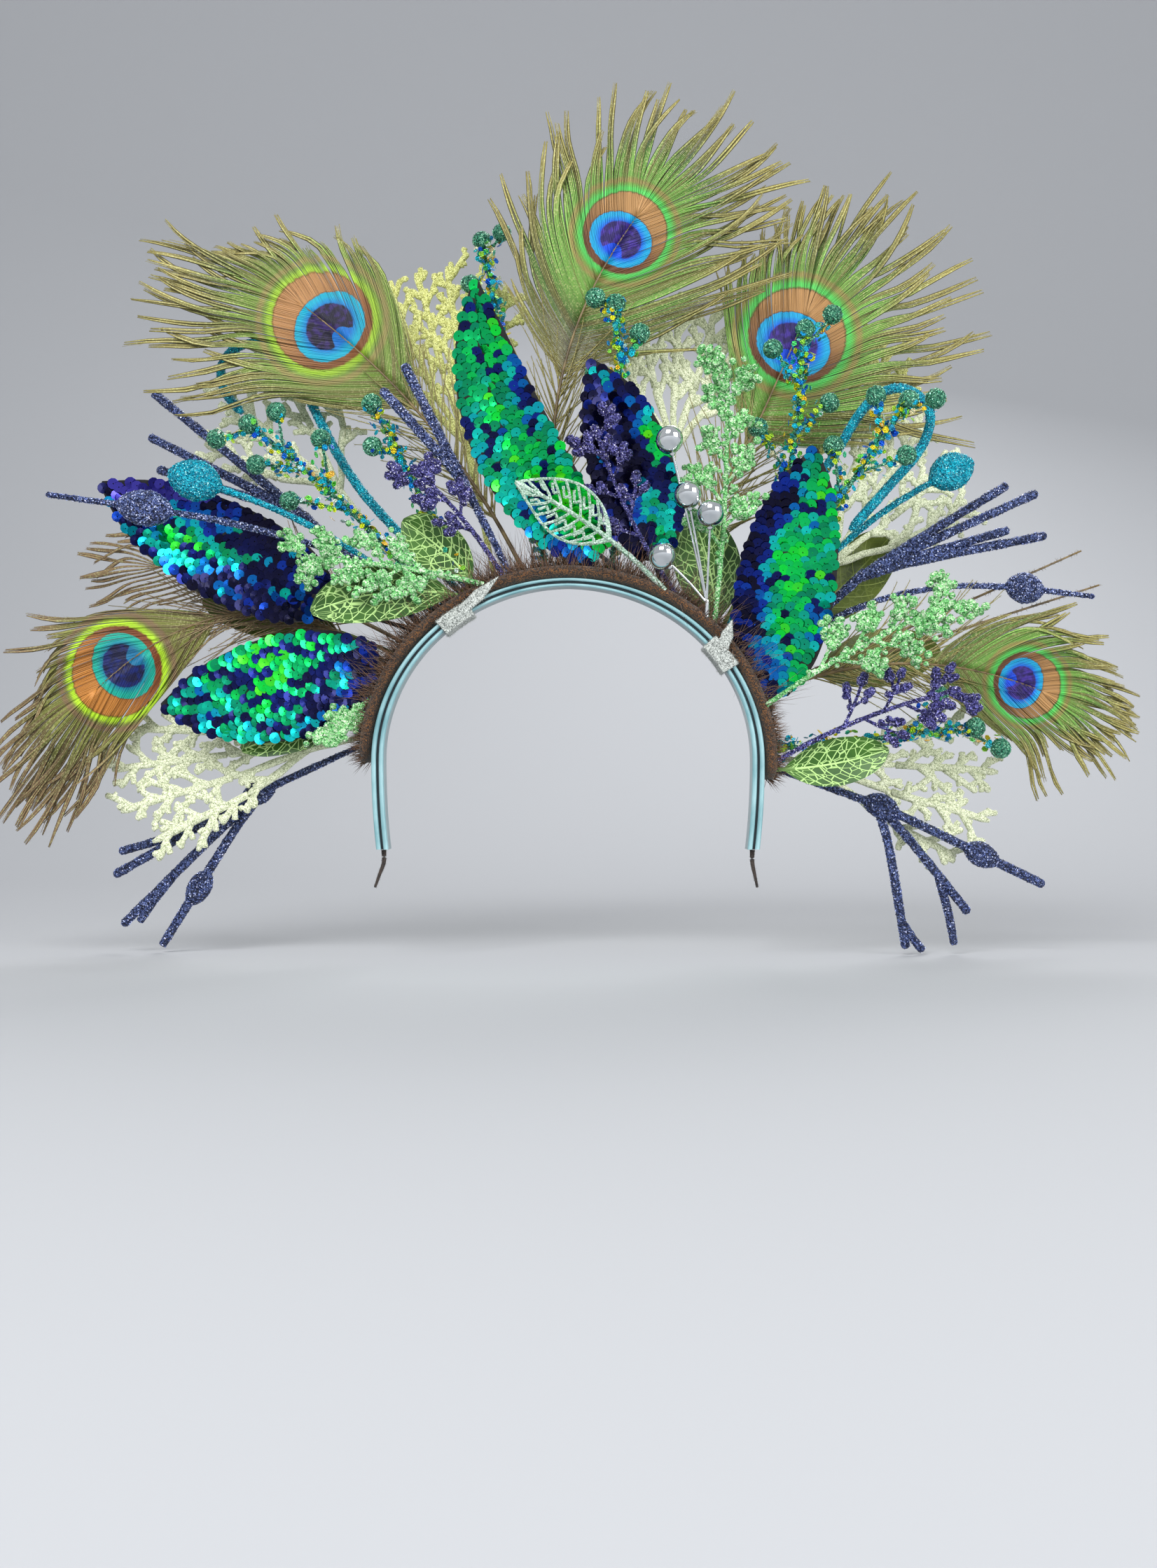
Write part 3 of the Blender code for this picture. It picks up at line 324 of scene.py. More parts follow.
class Heap:
    """Copies of patterns, gathered and then joined into one mesh."""

    def __init__(self):
        self.blocks = []

    def add(self, pattern, points, **values):
        """points are copies x pattern points x 3, in millimetres, in the headdress's frame.

        Where the bending has turned the pattern inside out, its volume comes out negative."""
        first = points[0][pattern.fans]
        flipped = (first[:, 0] * np.cross(first[:, 1], first[:, 2])).sum() < 0
        self.blocks.append((pattern, points, values, flipped))

    def surface(self):
        """Every triangle so far, for scattering on."""
        soups = []
        for pattern, points, _, flipped in self.blocks:
            fans = pattern.fans[:, ::-1] if flipped else pattern.fans
            soups.append(points[:, fans].reshape(-1, 3, 3))
        return np.concatenate(soups)

    def build(self, name, sharp=None):
        coords, corners, sizes, offset = [], [], [], 0
        for pattern, points, _, flipped in self.blocks:
            copies, count = points.shape[:2]
            coords.append(points.reshape(-1, 3) * MM)
            shift = np.arange(copies)[:, None] * count + offset
            corners.append(((pattern.inside_out if flipped else pattern.corners)[None] + shift).ravel())
            sizes.append(np.tile(pattern.sizes, copies))
            offset += copies * count
        coords, corners, sizes = (np.concatenate(part) for part in (coords, corners, sizes))
        mesh = bpy.data.meshes.new(name)
        mesh.vertices.add(len(coords))
        mesh.vertices.foreach_set("co", coords.ravel())
        mesh.loops.add(len(corners))
        mesh.loops.foreach_set("vertex_index", corners)
        mesh.polygons.add(len(sizes))
        mesh.polygons.foreach_set("loop_start", np.concatenate([[0], np.cumsum(sizes)[:-1]]))
        mesh.update(calc_edges=True)
        self.write_values(mesh, corners)
        mesh.shade_smooth()
        if sharp:
            mesh.set_sharp_from_angle(angle=math.radians(sharp))
        item = bpy.data.objects.new(name, mesh)
        bpy.context.scene.collection.objects.link(item)
        print(name, len(sizes), "faces")
        return item

    def write_values(self, mesh, corners):
        """Values with two columns become a UV map, and the others a point attribute."""
        names = sorted({name for _, _, values, _ in self.blocks for name in values})
        for name in names:
            parts = []
            width = 1
            for _, points, values, _ in self.blocks:
                copies, count = points.shape[:2]
                value = np.asarray(values.get(name, 0.0), float)
                if value.ndim == 3:
                    width = 2
                    parts.append(value.reshape(-1, 2))
                    continue
                if value.ndim == 1:
                    value = value[:, None]
                parts.append(np.broadcast_to(value, (copies, count)).reshape(-1))
            if width == 2:
                pairs = np.concatenate([part if part.ndim == 2 else np.stack([part, part], axis=1)
                                        for part in parts])
                layer = mesh.uv_layers.new(name=name)
                layer.data.foreach_set("uv", pairs[corners].ravel())
                continue
            attribute = mesh.attributes.new(name, "FLOAT", "POINT")
            attribute.data.foreach_set("value", np.concatenate(parts).astype(np.float32))


# %% The patterns themselves


def extruded_disc(sides, rings, rise):
    """A closed stack of rings: a filled circle that is extruded ring by ring."""
    rest()
    bpy.ops.mesh.primitive_circle_add(vertices=sides, radius=1, fill_type="NGON")
    item = bpy.context.object
    bpy.ops.object.mode_set(mode="EDIT")
    bpy.ops.mesh.select_all(action="SELECT")
    for _ in range(rings):
        bpy.ops.mesh.extrude_region_move(TRANSFORM_OT_translate={"value": (0, 0, rise)})
    bpy.ops.mesh.select_all(action="SELECT")
    bpy.ops.mesh.normals_make_consistent(inside=False)
    return Pattern(item)


def rod_pattern(sides, rings):
    """A closed tube one unit long."""
    return extruded_disc(sides, rings, 1 / rings)


def flake_pattern(sides, thickness):
    """A thin cut flake."""
    return extruded_disc(sides, 1, thickness)


def hair_pattern():
    """A fine three-sided spike."""
    rest()
    bpy.ops.mesh.primitive_cone_add(vertices=3, radius1=1, radius2=0, depth=1, location=(0, 0, 0.5))
    bpy.ops.object.transform_apply()
    return Pattern(bpy.context.object)


def ball_pattern(subdivisions):
    rest()
    bpy.ops.mesh.primitive_ico_sphere_add(subdivisions=subdivisions, radius=1)
    return Pattern(bpy.context.object)


def sequin_pattern():
    """A cupped disc with its sewing hole: a disc inset once, its middle pressed in and cut out."""
    rest()
    bpy.ops.mesh.primitive_circle_add(vertices=10, radius=1, fill_type="NGON")
    item = bpy.context.object
    bpy.ops.object.mode_set(mode="EDIT")
    bpy.ops.mesh.select_all(action="SELECT")
    bpy.ops.mesh.inset(thickness=0.84)
    bpy.ops.transform.translate(value=(0, 0, -0.05))
    bpy.ops.mesh.delete(type="FACE")
    bpy.ops.object.mode_set(mode="OBJECT")
    wall = item.modifiers.new("wall", "SOLIDIFY")
    wall.thickness = 0.05
    bpy.ops.object.modifier_apply(modifier="wall")
    return Pattern(item)


def slab_pattern(along, across):
    """A closed flat slab, one unit long and two wide, cut into a grid."""
    rest()
    bpy.ops.mesh.primitive_grid_add(x_subdivisions=along, y_subdivisions=across, size=1)
    item = bpy.context.object
    bpy.ops.object.mode_set(mode="EDIT")
    bpy.ops.mesh.select_all(action="SELECT")
    bpy.ops.mesh.extrude_region_move(TRANSFORM_OT_translate={"value": (0, 0, 1)})
    bpy.ops.mesh.select_all(action="SELECT")
    bpy.ops.mesh.normals_make_consistent(inside=False)
    bpy.ops.object.mode_set(mode="OBJECT")
    pattern = Pattern(item)
    pattern.points[:, 0] += 0.5
    pattern.points[:, 1] *= 2
    return pattern


ROD_6 = rod_pattern(6, 5)
ROD_10 = rod_pattern(10, 12)
ROD_16 = rod_pattern(16, 20)
WIRE = rod_pattern(5, 8)
BARB = rod_pattern(4, 12)
FLAKE = flake_pattern(6, 0.12)
GRIT = flake_pattern(3, 0.3)
HAIR = hair_pattern()

# How many hairs, grains and knobs lie on one piece
PAD_FIBRES = 10000
QUILL_TUFTS = 1400
CORAL_FIBRES = 6000
FELT_FIBRES = 3200
TAIL_FIBRES = 500
BERRY_GRAINS = 3000
SPRIG_GRAINS = 3400
KNOBS_AN_END = 13
KNOB = ball_pattern(2)
SPHERE = ball_pattern(4)
BERRY = ball_pattern(3)
SEQUIN = sequin_pattern()
LEAF_SLAB = slab_pattern(36, 14)
print("patterns made, sequin has", len(SEQUIN.sizes), "faces")

# %% Bending rods along routes, and setting flakes on surfaces


def sweep_along(pattern, routes, wide, deep=None):
    """Bend copies of a rod along routes, which are copies x rings x 3, with their radii."""
    rings = routes.shape[1] - 1
    ring = np.rint(pattern.points[:, 2] * rings).astype(int)
    tangent = unit(np.gradient(routes, axis=1))
    across = unit(np.cross(tangent, (0.0, 0.0, 1.0)))
    up = np.cross(tangent, across)
    deep = wide if deep is None else deep
    wide, deep = (np.broadcast_to(radius, routes.shape[:2]) for radius in (wide, deep))
    x, y = pattern.points[:, :1], pattern.points[:, 1:2]
    return (routes[:, ring] + wide[:, ring, None] * x * across[:, ring]
            + deep[:, ring, None] * y * up[:, ring])


def straight_routes(starts, ends, shares):
    shares = np.asarray(shares)[None, :, None]
    return starts[:, None] * (1 - shares) + ends[:, None] * shares


def resampled(route, count):
    """The same line with evenly spaced points."""
    route = np.asarray(route, float)
    steps = np.concatenate([[0], np.cumsum(np.linalg.norm(np.diff(route, axis=0), axis=1))])
    even = np.linspace(0, steps[-1], count)
    return np.stack([np.interp(even, steps, route[:, axis]) for axis in range(3)], axis=1)


def smooth_route(points, steps=8):
    """A smooth curve through a few given points."""
    points = np.asarray(points, float)
    padded = np.concatenate([points[:1], points, points[-1:]])
    route = []
    for index in range(len(points) - 1):
        before, start, end, after = padded[index:index + 4]
        for t in np.arange(steps) / steps:
            route.append(0.5 * (2 * start + (end - before) * t
                                + (2 * before - 5 * start + 4 * end - after) * t * t
                                + (3 * start - before - 3 * end + after) * t ** 3))
    return np.array(route + [points[-1]])


def copies_at(pattern, centres, size, first=None, second=None, third=None):
    """Copies of a pattern at points, along three directions."""
    count = len(centres)
    size = np.broadcast_to(np.asarray(size, float), (count,))[:, None, None]
    axes = [np.broadcast_to(axis, (count, 3))[:, None] for axis in (first, second, third)]
    turned = sum(pattern.points[None, :, index:index + 1] * axes[index] for index in range(3))
    return centres[:, None] + size * turned


STRAIGHT = ((1.0, 0, 0), (0, 1.0, 0), (0, 0, 1.0))


def scatter_on(triangles, count, rng):
    """Random points on a surface, with its normals."""
    side_a = triangles[:, 1] - triangles[:, 0]
    side_b = triangles[:, 2] - triangles[:, 0]
    cross = np.cross(side_a, side_b)
    area = np.linalg.norm(cross, axis=1)
    pick = rng.choice(len(triangles), count, p=area / area.sum())
    root = np.sqrt(rng.random(count))[:, None]
    share = rng.random(count)[:, None]
    points = triangles[pick, 0] + side_a[pick] * root * (1 - share) + side_b[pick] * root * share
    return points, unit(cross[pick])


def tipped_axes(normals, tilt, rng):
    """Three directions at each point, turned at random and tipped off the normal."""
    third = unit(normals + rng.normal(0, tilt, normals.shape))
    first = unit(np.cross(third, rng.normal(size=normals.shape)))
    return first, np.cross(third, first), third


def add_hairs(heap, count, tilt, lengths, width, rng, sunk=0.0, flakes=False):
    """Strew hairs over all that the heap holds."""
    points, normals = scatter_on(heap.surface(), count, rng)
    first, second, third = tipped_axes(normals, tilt, rng)
    hairs = copies_at(HAIR, points - normals * sunk, rng.uniform(*lengths, count),
                      first * width, second * width, third)
    values = {"flake": rng.random(count)} if flakes else {}
    heap.add(HAIR, hairs, **values)


def add_flakes(heap, pattern, count, size, tilt, rng, lift=0.0, tints=(0.0, 1.0)):
    """Strew flakes over all that the heap holds."""
    points, normals = scatter_on(heap.surface(), count, rng)
    first, second, third = tipped_axes(normals, tilt, rng)
    sizes = size * rng.uniform(0.6, 1.3, count)
    copies = copies_at(pattern, points + normals * lift, sizes, first, second, third)
    heap.add(pattern, copies, tint=rng.uniform(*tints, count), flake=np.ones(count))


print("helpers ready")

# %% [markdown]
# ## Finishes
#
# Glitter, flock, felt and satin are all one surface broken up by something small. The breaking up
# is a node group that is built once. The colours are picked as they look on a screen, and turned
# into the linear values that the shader wants.

# %% Colours and node helpers


def tone(red, green, blue):
    """A colour as it looks on a screen, as the shader wants it."""
    linear = [value / 12.92 if value <= 0.04045 else ((value + 0.055) / 1.055) ** 2.4
              for value in (red, green, blue)]
    return (*linear, 1.0)


class Finish:
    """A material with short calls for the nodes that this headdress needs."""

    def __init__(self, name, roughness=0.5, metallic=0.0, **sockets):
        self.material = bpy.data.materials.new(name)
        self.material.use_nodes = True
        self.tree = self.material.node_tree
        self.shader = self.tree.nodes["Principled BSDF"]
        self.shader.inputs["Roughness"].default_value = roughness
        self.shader.inputs["Metallic"].default_value = metallic
        for socket, value in sockets.items():
            self.shader.inputs[socket.replace("_", " ")].default_value = value
        self.place = self.tree.nodes.new("ShaderNodeTexCoord").outputs["Object"]

    def wire(self, node, **inputs):
        for name, value in inputs.items():
            socket = node.inputs[name.replace("_", " ")]
            if isinstance(value, bpy.types.NodeSocket):
                self.tree.links.new(value, socket)
            else:
                socket.default_value = value
        return node

    def attribute(self, name):
        node = self.tree.nodes.new("ShaderNodeAttribute")
        node.attribute_name = name
        return node.outputs["Fac"]

    def map(self, name):
        node = self.tree.nodes.new("ShaderNodeUVMap")
        node.uv_map = name
        parts = self.tree.nodes.new("ShaderNodeSeparateXYZ")
        self.tree.links.new(node.outputs["UV"], parts.inputs["Vector"])
        return node.outputs["UV"], parts.outputs["X"], parts.outputs["Y"]

    def math(self, operation, first, second=0.0, third=0.0, clamp=False):
        node = self.tree.nodes.new("ShaderNodeMath")
        node.operation = operation
        node.use_clamp = clamp
        for socket, value in zip(node.inputs, (first, second, third)):
            if isinstance(value, bpy.types.NodeSocket):
                self.tree.links.new(value, socket)
            else:
                socket.default_value = value
        return node.outputs[0]

    def ramp(self, factor, *stops):
        node = self.tree.nodes.new("ShaderNodeValToRGB")
        node.color_ramp.interpolation = "LINEAR"
        elements = node.color_ramp.elements
        while len(elements) > 1:
            elements.remove(elements[-1])
        elements[0].position, elements[0].color = stops[0]
        for position, colour in stops[1:]:
            elements.new(position).color = colour
        self.tree.links.new(factor, node.inputs["Fac"])
        return node.outputs["Color"]

    def mask(self, factor, low, high):
        """0 below low and 1 above high, or the other way round."""
        node = self.tree.nodes.new("ShaderNodeMapRange")
        node.interpolation_type = "SMOOTHSTEP"
        self.wire(node, Value=factor, From_Min=low, From_Max=high)
        return node.outputs["Result"]

    def mix(self, factor, first, second, blend="MIX"):
        node = self.tree.nodes.new("ShaderNodeMix")
        node.data_type = "RGBA"
        node.blend_type = blend
        sockets = (node.inputs[0], node.inputs[6], node.inputs[7])
        for socket, value in zip(sockets, (factor, first, second)):
            if isinstance(value, bpy.types.NodeSocket):
                self.tree.links.new(value, socket)
            else:
                socket.default_value = value
        return node.outputs[2]

    def noise(self, scale, detail=3.0, vector=None):
        node = self.tree.nodes.new("ShaderNodeTexNoise")
        self.wire(node, Vector=vector or self.place, Scale=scale, Detail=detail)
        return node.outputs["Fac"]

    def stretched(self, scale):
        """The object's own coordinates, squeezed by a scale for each axis."""
        node = self.tree.nodes.new("ShaderNodeMapping")
        self.wire(node, Vector=self.place, Scale=scale)
        return node.outputs["Vector"]

    def bump(self, height, strength, distance):
        node = self.tree.nodes.new("ShaderNodeBump")
        self.wire(node, Height=height, Strength=strength, Distance=distance)
        self.tree.links.new(node.outputs["Normal"], self.shader.inputs["Normal"])

    def colour(self, value):
        if isinstance(value, bpy.types.NodeSocket):
            self.tree.links.new(value, self.shader.inputs["Base Color"])
        else:
            self.shader.inputs["Base Color"].default_value = value
        return self.material

    def rough(self, value):
        self.tree.links.new(value, self.shader.inputs["Roughness"])


# %% The grain group that glitter, flock and felt share


def make_grain_group():
    """Cells of a given scale: a random value for each, and how far a point is from its middle."""
    group = bpy.data.node_groups.new("small grains", "ShaderNodeTree")
    group.interface.new_socket("Vector", in_out="INPUT", socket_type="NodeSocketVector")
    group.interface.new_socket("Scale", in_out="INPUT", socket_type="NodeSocketFloat")
    group.interface.new_socket("Shade", in_out="OUTPUT", socket_type="NodeSocketFloat")
    group.interface.new_socket("Height", in_out="OUTPUT", socket_type="NodeSocketFloat")
    entry = group.nodes.new("NodeGroupInput")
    leave = group.nodes.new("NodeGroupOutput")
    cells = group.nodes.new("ShaderNodeTexVoronoi")
    split = group.nodes.new("ShaderNodeSeparateColor")
    group.links.new(entry.outputs["Vector"], cells.inputs["Vector"])
    group.links.new(entry.outputs["Scale"], cells.inputs["Scale"])
    group.links.new(cells.outputs["Color"], split.inputs["Color"])
    group.links.new(split.outputs["Red"], leave.inputs["Shade"])
    group.links.new(cells.outputs["Distance"], leave.inputs["Height"])
    return group


GRAINS = make_grain_group()


def grains(finish, scale):
    node = finish.tree.nodes.new("ShaderNodeGroup")
    node.node_tree = GRAINS
    finish.wire(node, Vector=finish.place, Scale=scale)
    return node.outputs["Shade"], node.outputs["Height"]


print("grain group ready")

# %% Glitter, flock and felt


def glitter(name, dark, middle, light, stops, metal=0.3):
    """Crushed glitter in glue. Cut flakes take their colour from stops, by their own tint."""
    finish = Finish(name, roughness=0.42, metallic=0.35)
    shade, height = grains(finish, 1600.0)
    body = finish.ramp(shade, (0.0, dark), (0.55, middle), (1.0, light))
    patch = finish.noise(140.0)
    body = finish.mix(finish.mask(patch, 0.35, 0.7), finish.mix(0.45, body, dark), body)
    cut = finish.ramp(finish.attribute("tint"), *stops)
    flake = finish.attribute("flake")
    finish.colour(finish.mix(flake, body, cut))
    shine = finish.math("MULTIPLY_ADD", flake, 0.4, metal)
    finish.tree.links.new(shine, finish.shader.inputs["Metallic"])
    finish.rough(finish.math("MULTIPLY_ADD", shade, 0.35, 0.18))
    finish.bump(finish.math("ADD", height, finish.math("MULTIPLY", shade, 0.9)), 0.9, 0.0006)
    return finish.material


def flock(name, deep, face, tip):
    """Short fibres blown on to glue: matt, with light tips and deep hollows."""
    finish = Finish(name, roughness=0.95, Sheen_Weight=0.2, Sheen_Roughness=0.6)
    shade, height = grains(finish, 2600.0)
    body = finish.ramp(shade, (0.0, deep), (0.4, face), (1.0, tip))
    flake = finish.attribute("flake")
    finish.colour(finish.mix(finish.math("MULTIPLY", flake, 0.8), body, tip))
    finish.bump(height, 0.5, 0.0003)
    return finish.material


NAVY = glitter("navy glitter", tone(0.04, 0.06, 0.14), tone(0.16, 0.21, 0.38), tone(0.44, 0.51, 0.74),
               ((0.0, tone(0.16, 0.20, 0.38)), (0.4, tone(0.42, 0.49, 0.74)),
                (0.8, tone(0.80, 0.85, 1.0)),
                (1.0, tone(0.88, 0.88, 1.0))))
TURQUOISE = glitter("turquoise glitter", tone(0.0, 0.34, 0.44), tone(0.0, 0.62, 0.72),
                    tone(0.15, 0.82, 0.90),
                    ((0.0, tone(0.0, 0.50, 0.62)), (0.6, tone(0.0, 0.76, 0.86)),
                     (1.0, tone(0.70, 1.0, 1.0))))
MINT = glitter("mint glitter", tone(0.14, 0.44, 0.20), tone(0.58, 0.94, 0.56), tone(0.96, 1.0, 0.90),
               ((0.0, tone(0.44, 0.84, 0.46)), (0.4, tone(0.76, 1.0, 0.72)),
                (1.0, tone(1.0, 1.0, 0.95))),
               metal=0.05)
PURPLE = glitter("purple glitter", tone(0.06, 0.05, 0.18), tone(0.20, 0.19, 0.44),
                 tone(0.48, 0.48, 0.78),
                 ((0.0, tone(0.20, 0.19, 0.45)), (0.4, tone(0.48, 0.46, 0.78)),
                  (0.8, tone(0.84, 0.82, 1.0)),
                  (1.0, tone(1.0, 1.0, 1.0))))
CONFETTI = ((0.0, tone(0.10, 0.42, 0.33)), (0.14, tone(0.32, 0.68, 0.54)),
            (0.27, tone(0.74, 0.98, 0.84)),
            (0.34, tone(0.0, 0.62, 0.70)), (0.48, tone(0.10, 0.75, 0.85)),
            (0.60, tone(0.05, 0.32, 0.85)),
            (0.74, tone(0.30, 0.85, 0.35)), (0.88, tone(0.86, 0.92, 0.14)),
            (0.95, tone(0.98, 0.74, 0.18)),
            (1.0, tone(0.80, 0.98, 0.98)))
BERRY_GLITTER = glitter("teal confetti", tone(0.06, 0.25, 0.19), tone(0.18, 0.50, 0.40),
                        tone(0.48, 0.78, 0.62), CONFETTI)
FROST = glitter("mint frost", tone(0.45, 0.62, 0.50), tone(0.78, 0.90, 0.82), tone(0.95, 1.0, 0.97),
                ((0.0, tone(0.70, 0.86, 0.76)), (1.0, tone(1.0, 1.0, 1.0))), metal=0.1)
CREAM = flock("cream flock", tone(0.54, 0.58, 0.42), tone(0.81, 0.84, 0.69), tone(0.98, 0.99, 0.88))
YELLOW = flock("yellowish flock", tone(0.42, 0.43, 0.16), tone(0.76, 0.77, 0.42), tone(0.93, 0.94, 0.66))
FELT = flock("grey felt", tone(0.32, 0.34, 0.33), tone(0.62, 0.64, 0.62), tone(0.82, 0.84, 0.82))
FUR = flock("brown fur", tone(0.05, 0.03, 0.02), tone(0.15, 0.10, 0.06), tone(0.46, 0.29, 0.12))
print("glitter and flock ready")

# %% How a finished piece joins the headdress


def wear(item, material, slot, *solids):
    """Give a piece its finish, and let it stand for its solids."""
    item.data.materials.clear()
    item.data.materials.append(material)
    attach(item, "root")
    if solids:
        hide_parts(*solids)
    return item


# %% [markdown]
# ## Headband
#
# The real band is two wire rails, each wound with ice-blue satin, laid side by side and glued. The
# thin dark line between them is painted shade in the dip where they meet, and the band's inner face
# is painted a darker teal as shade too. One profile carries both rails and the line. It could
# be a curve with a bevel object, but a disc that is extruded ring by ring and laid along the crown
# keeps its section upright on the ellipse as well as on the straight legs.

# %% The two satin rails
BAND_RINGS = 120
BAND_PROFILE_POINTS = 36
GROOVE_WIDTH = 1.0
GROOVE_DEPTH = 1.4
RAIL_SHARE = 0.92
SHADED_GROOVE_POINTS = (9, 10)
SHADED_INNER_POINTS = (20, 21, 22, 23, 24)


def band_profile(thickness):
    """Points (offset, depth) round the band: plump at the front, flat where it meets the head."""
    rail = (thickness - GROOVE_WIDTH) / 2
    back = BAND_FRONT + BAND_DEPTH
    shape = []
    for centre in (-rail / 2, -thickness + rail / 2):
        for step in range(9):
            angle = math.pi * step / 8
            shape.append((centre + rail / 2 * math.cos(angle), BAND_FRONT + 0.9 * (1 - math.sin(angle))))
        if centre == -rail / 2:
            shape.append((-rail, BAND_FRONT + GROOVE_DEPTH))
            shape.append((-thickness + rail, BAND_FRONT + GROOVE_DEPTH))
    shape += [(-thickness, BAND_FRONT + BAND_DEPTH * share) for share in (0.2, 0.4, 0.6, 0.8, 0.94)]
    shape += [(-thickness * share, back) for share in (0.92, 0.6, 0.3, 0.08)]
    shape += [(0, BAND_FRONT + BAND_DEPTH * share) for share in (0.94, 0.8, 0.67, 0.54, 0.4, 0.27, 0.13)]
    return np.array(shape)


band_rod = rod_pattern(BAND_PROFILE_POINTS, BAND_RINGS)
band_end = SIDE_STATION + LEG_DROP
ring_stations = np.linspace(-band_end, band_end, BAND_RINGS + 1)
band_points = np.zeros((1, len(band_rod.points), 3))
painted_shade_share = np.zeros((1, len(band_rod.points)))
angles = np.arctan2(band_rod.points[:, 1], band_rod.points[:, 0])
profile_index = np.rint(angles / (2 * math.pi) * BAND_PROFILE_POINTS).astype(int) % BAND_PROFILE_POINTS
for index, (_, _, height) in enumerate(band_rod.points):
    station = ring_stations[int(round(height * BAND_RINGS))]
    side_share = min(abs(station) / SIDE_STATION, 1.0)
    thickness = BAND_THICKNESS_CROWN + (BAND_THICKNESS_LEG - BAND_THICKNESS_CROWN) * side_share
    offset, depth = band_profile(thickness * RAIL_SHARE)[profile_index[index]]
    x, z = crown_line(station, offset)
    band_points[0, index] = (x, depth, z)
    # Points in the dip between the rails, and on the band's inner face, are marked for painted shade
    painted_shade_share[0, index] = 1.0 if profile_index[index] in SHADED_GROOVE_POINTS else 0.0
    if profile_index[index] in SHADED_INNER_POINTS:
        painted_shade_share[0, index] = 0.48

satin = Finish("ice blue satin", roughness=0.34, Sheen_Weight=0.2, Sheen_Roughness=0.35,
               Specular_IOR_Level=0.5)
crease = satin.noise(60.0, 4.0, satin.stretched((1.0, 6.0, 1.0)))
weave = satin.noise(2600.0, 1.0, satin.stretched((1.0, 0.25, 1.0)))
# Painted shade and sheen: the colour follows the wrinkles' own height, darker in their hollows and paler
# on their ridges
cloth = satin.ramp(crease, (0.3, tone(0.36, 0.55, 0.58)), (0.7, tone(0.60, 0.75, 0.77)))
# Painted shade: the dip between the rails is dark teal, and the inner face is darkened about half as
# much
satin.colour(satin.mix(satin.mask(satin.attribute("groove"), 0.25, 0.7), cloth, tone(0.04, 0.13, 0.16)))
satin.bump(satin.math("ADD", crease, satin.math("MULTIPLY", weave, 0.12)), 0.35, 0.0008)

band_heap = Heap()
band_heap.add(band_rod, band_points, groove=painted_shade_share)
band = band_heap.build("satin_headband", sharp=50)
wear(band, satin.material, "satin", "headband")

# %% [markdown]
# ## Crescent pad and its fur
#
# The stems vanish in a crescent of brown feather fluff. A plump rod along the crown gives the pad
# its body, and thousands of short spikes on it read as down. A particle system would look alike
# but leaves no mesh of its own.

# %% The pad body and its down
PAD_FIRST_STATION = -90.0
PAD_LAST_STATION = 97.0
PAD_INNER = 0.3


def pad_points(pattern, swell):
    """Lay a rod along the crown with the pad's own section."""
    rings = pattern.points[:, 2]
    station = PAD_FIRST_STATION + (PAD_LAST_STATION - PAD_FIRST_STATION) * rings
    taper = np.clip(np.minimum(rings, 1 - rings) * 22 + 0.55, 0, 1)
    angle = np.arctan2(pattern.points[:, 1], pattern.points[:, 0])
    square = 1 / np.maximum(np.abs(np.cos(angle)), np.abs(np.sin(angle))) ** 0.6
    height = (PAD_OUTER - PAD_INNER) / 2 + swell
    depth = (PAD_BACK - PAD_FRONT) / 2 + swell
    offset = (PAD_OUTER + PAD_INNER) / 2 + np.cos(angle) * square * height * taper * 0.94
    y = (PAD_BACK + PAD_FRONT) / 2 + np.sin(angle) * square * depth * taper * 0.94
    xz = np.array([crown_line(a, b) for a, b in zip(station, offset)])
    return np.stack([xz[:, 0], y, xz[:, 1]], axis=1)[None]


pad_rng = seed_of("pad")
pad_rod = rod_pattern(24, 80)
pad_heap = Heap()
pad_heap.add(pad_rod, pad_points(pad_rod, 0.0))
pad = pad_heap.build("crescent_pad")
wear(pad, FUR, "pad", "base_pad")

down_heap = Heap()
roots, normals = scatter_on(pad_heap.surface(), PAD_FIBRES, pad_rng)
outward = unit(np.stack([roots[:, 0], np.zeros(len(roots)), roots[:, 2] - CROWN_CENTRE], axis=1))
keep = (normals * outward).sum(axis=1) > -0.35
roots, normals, outward = roots[keep], normals[keep], outward[keep]
lean = unit(normals * 0.6 + outward * 0.9 + pad_rng.normal(0, 0.5, roots.shape))
first = unit(np.cross(lean, pad_rng.normal(size=lean.shape)))
from_top = np.degrees(np.arctan2(roots[:, 0], roots[:, 2] - CROWN_CENTRE))
long_fibre = (pad_rng.random(len(roots)) < 0.32) & (np.abs(from_top) < 74)
lengths = np.where(long_fibre, pad_rng.uniform(8.0, 24.0, len(roots)),
                   pad_rng.uniform(3.0, 8.5, len(roots)))
width = 0.16 / lengths[:, None]
down_heap.add(HAIR, copies_at(HAIR, roots - normals * 0.3, lengths, first * width,
                              np.cross(lean, first) * width, lean),
              tint=pad_rng.random(len(roots)), flake=pad_rng.random(len(roots)))
wear(down_heap.build("pad_down"), FUR, "pad")

# %% [markdown]
# ## Peacock feathers
#
# A peacock feather is a quill with some hundreds of barbs. Near the eye the barbs lie edge to edge
# and make one surface, and further out they part into locks that taper and curl. A leaf-shaped
# card with a painted eye would be quicker, but it would show no gaps and no fringe. So every barb
# is its own flattened rod, and the eye is painted across all of them by their distance from its
# middle, the way the colours run through the real barbs.

# %% The colours of an eye


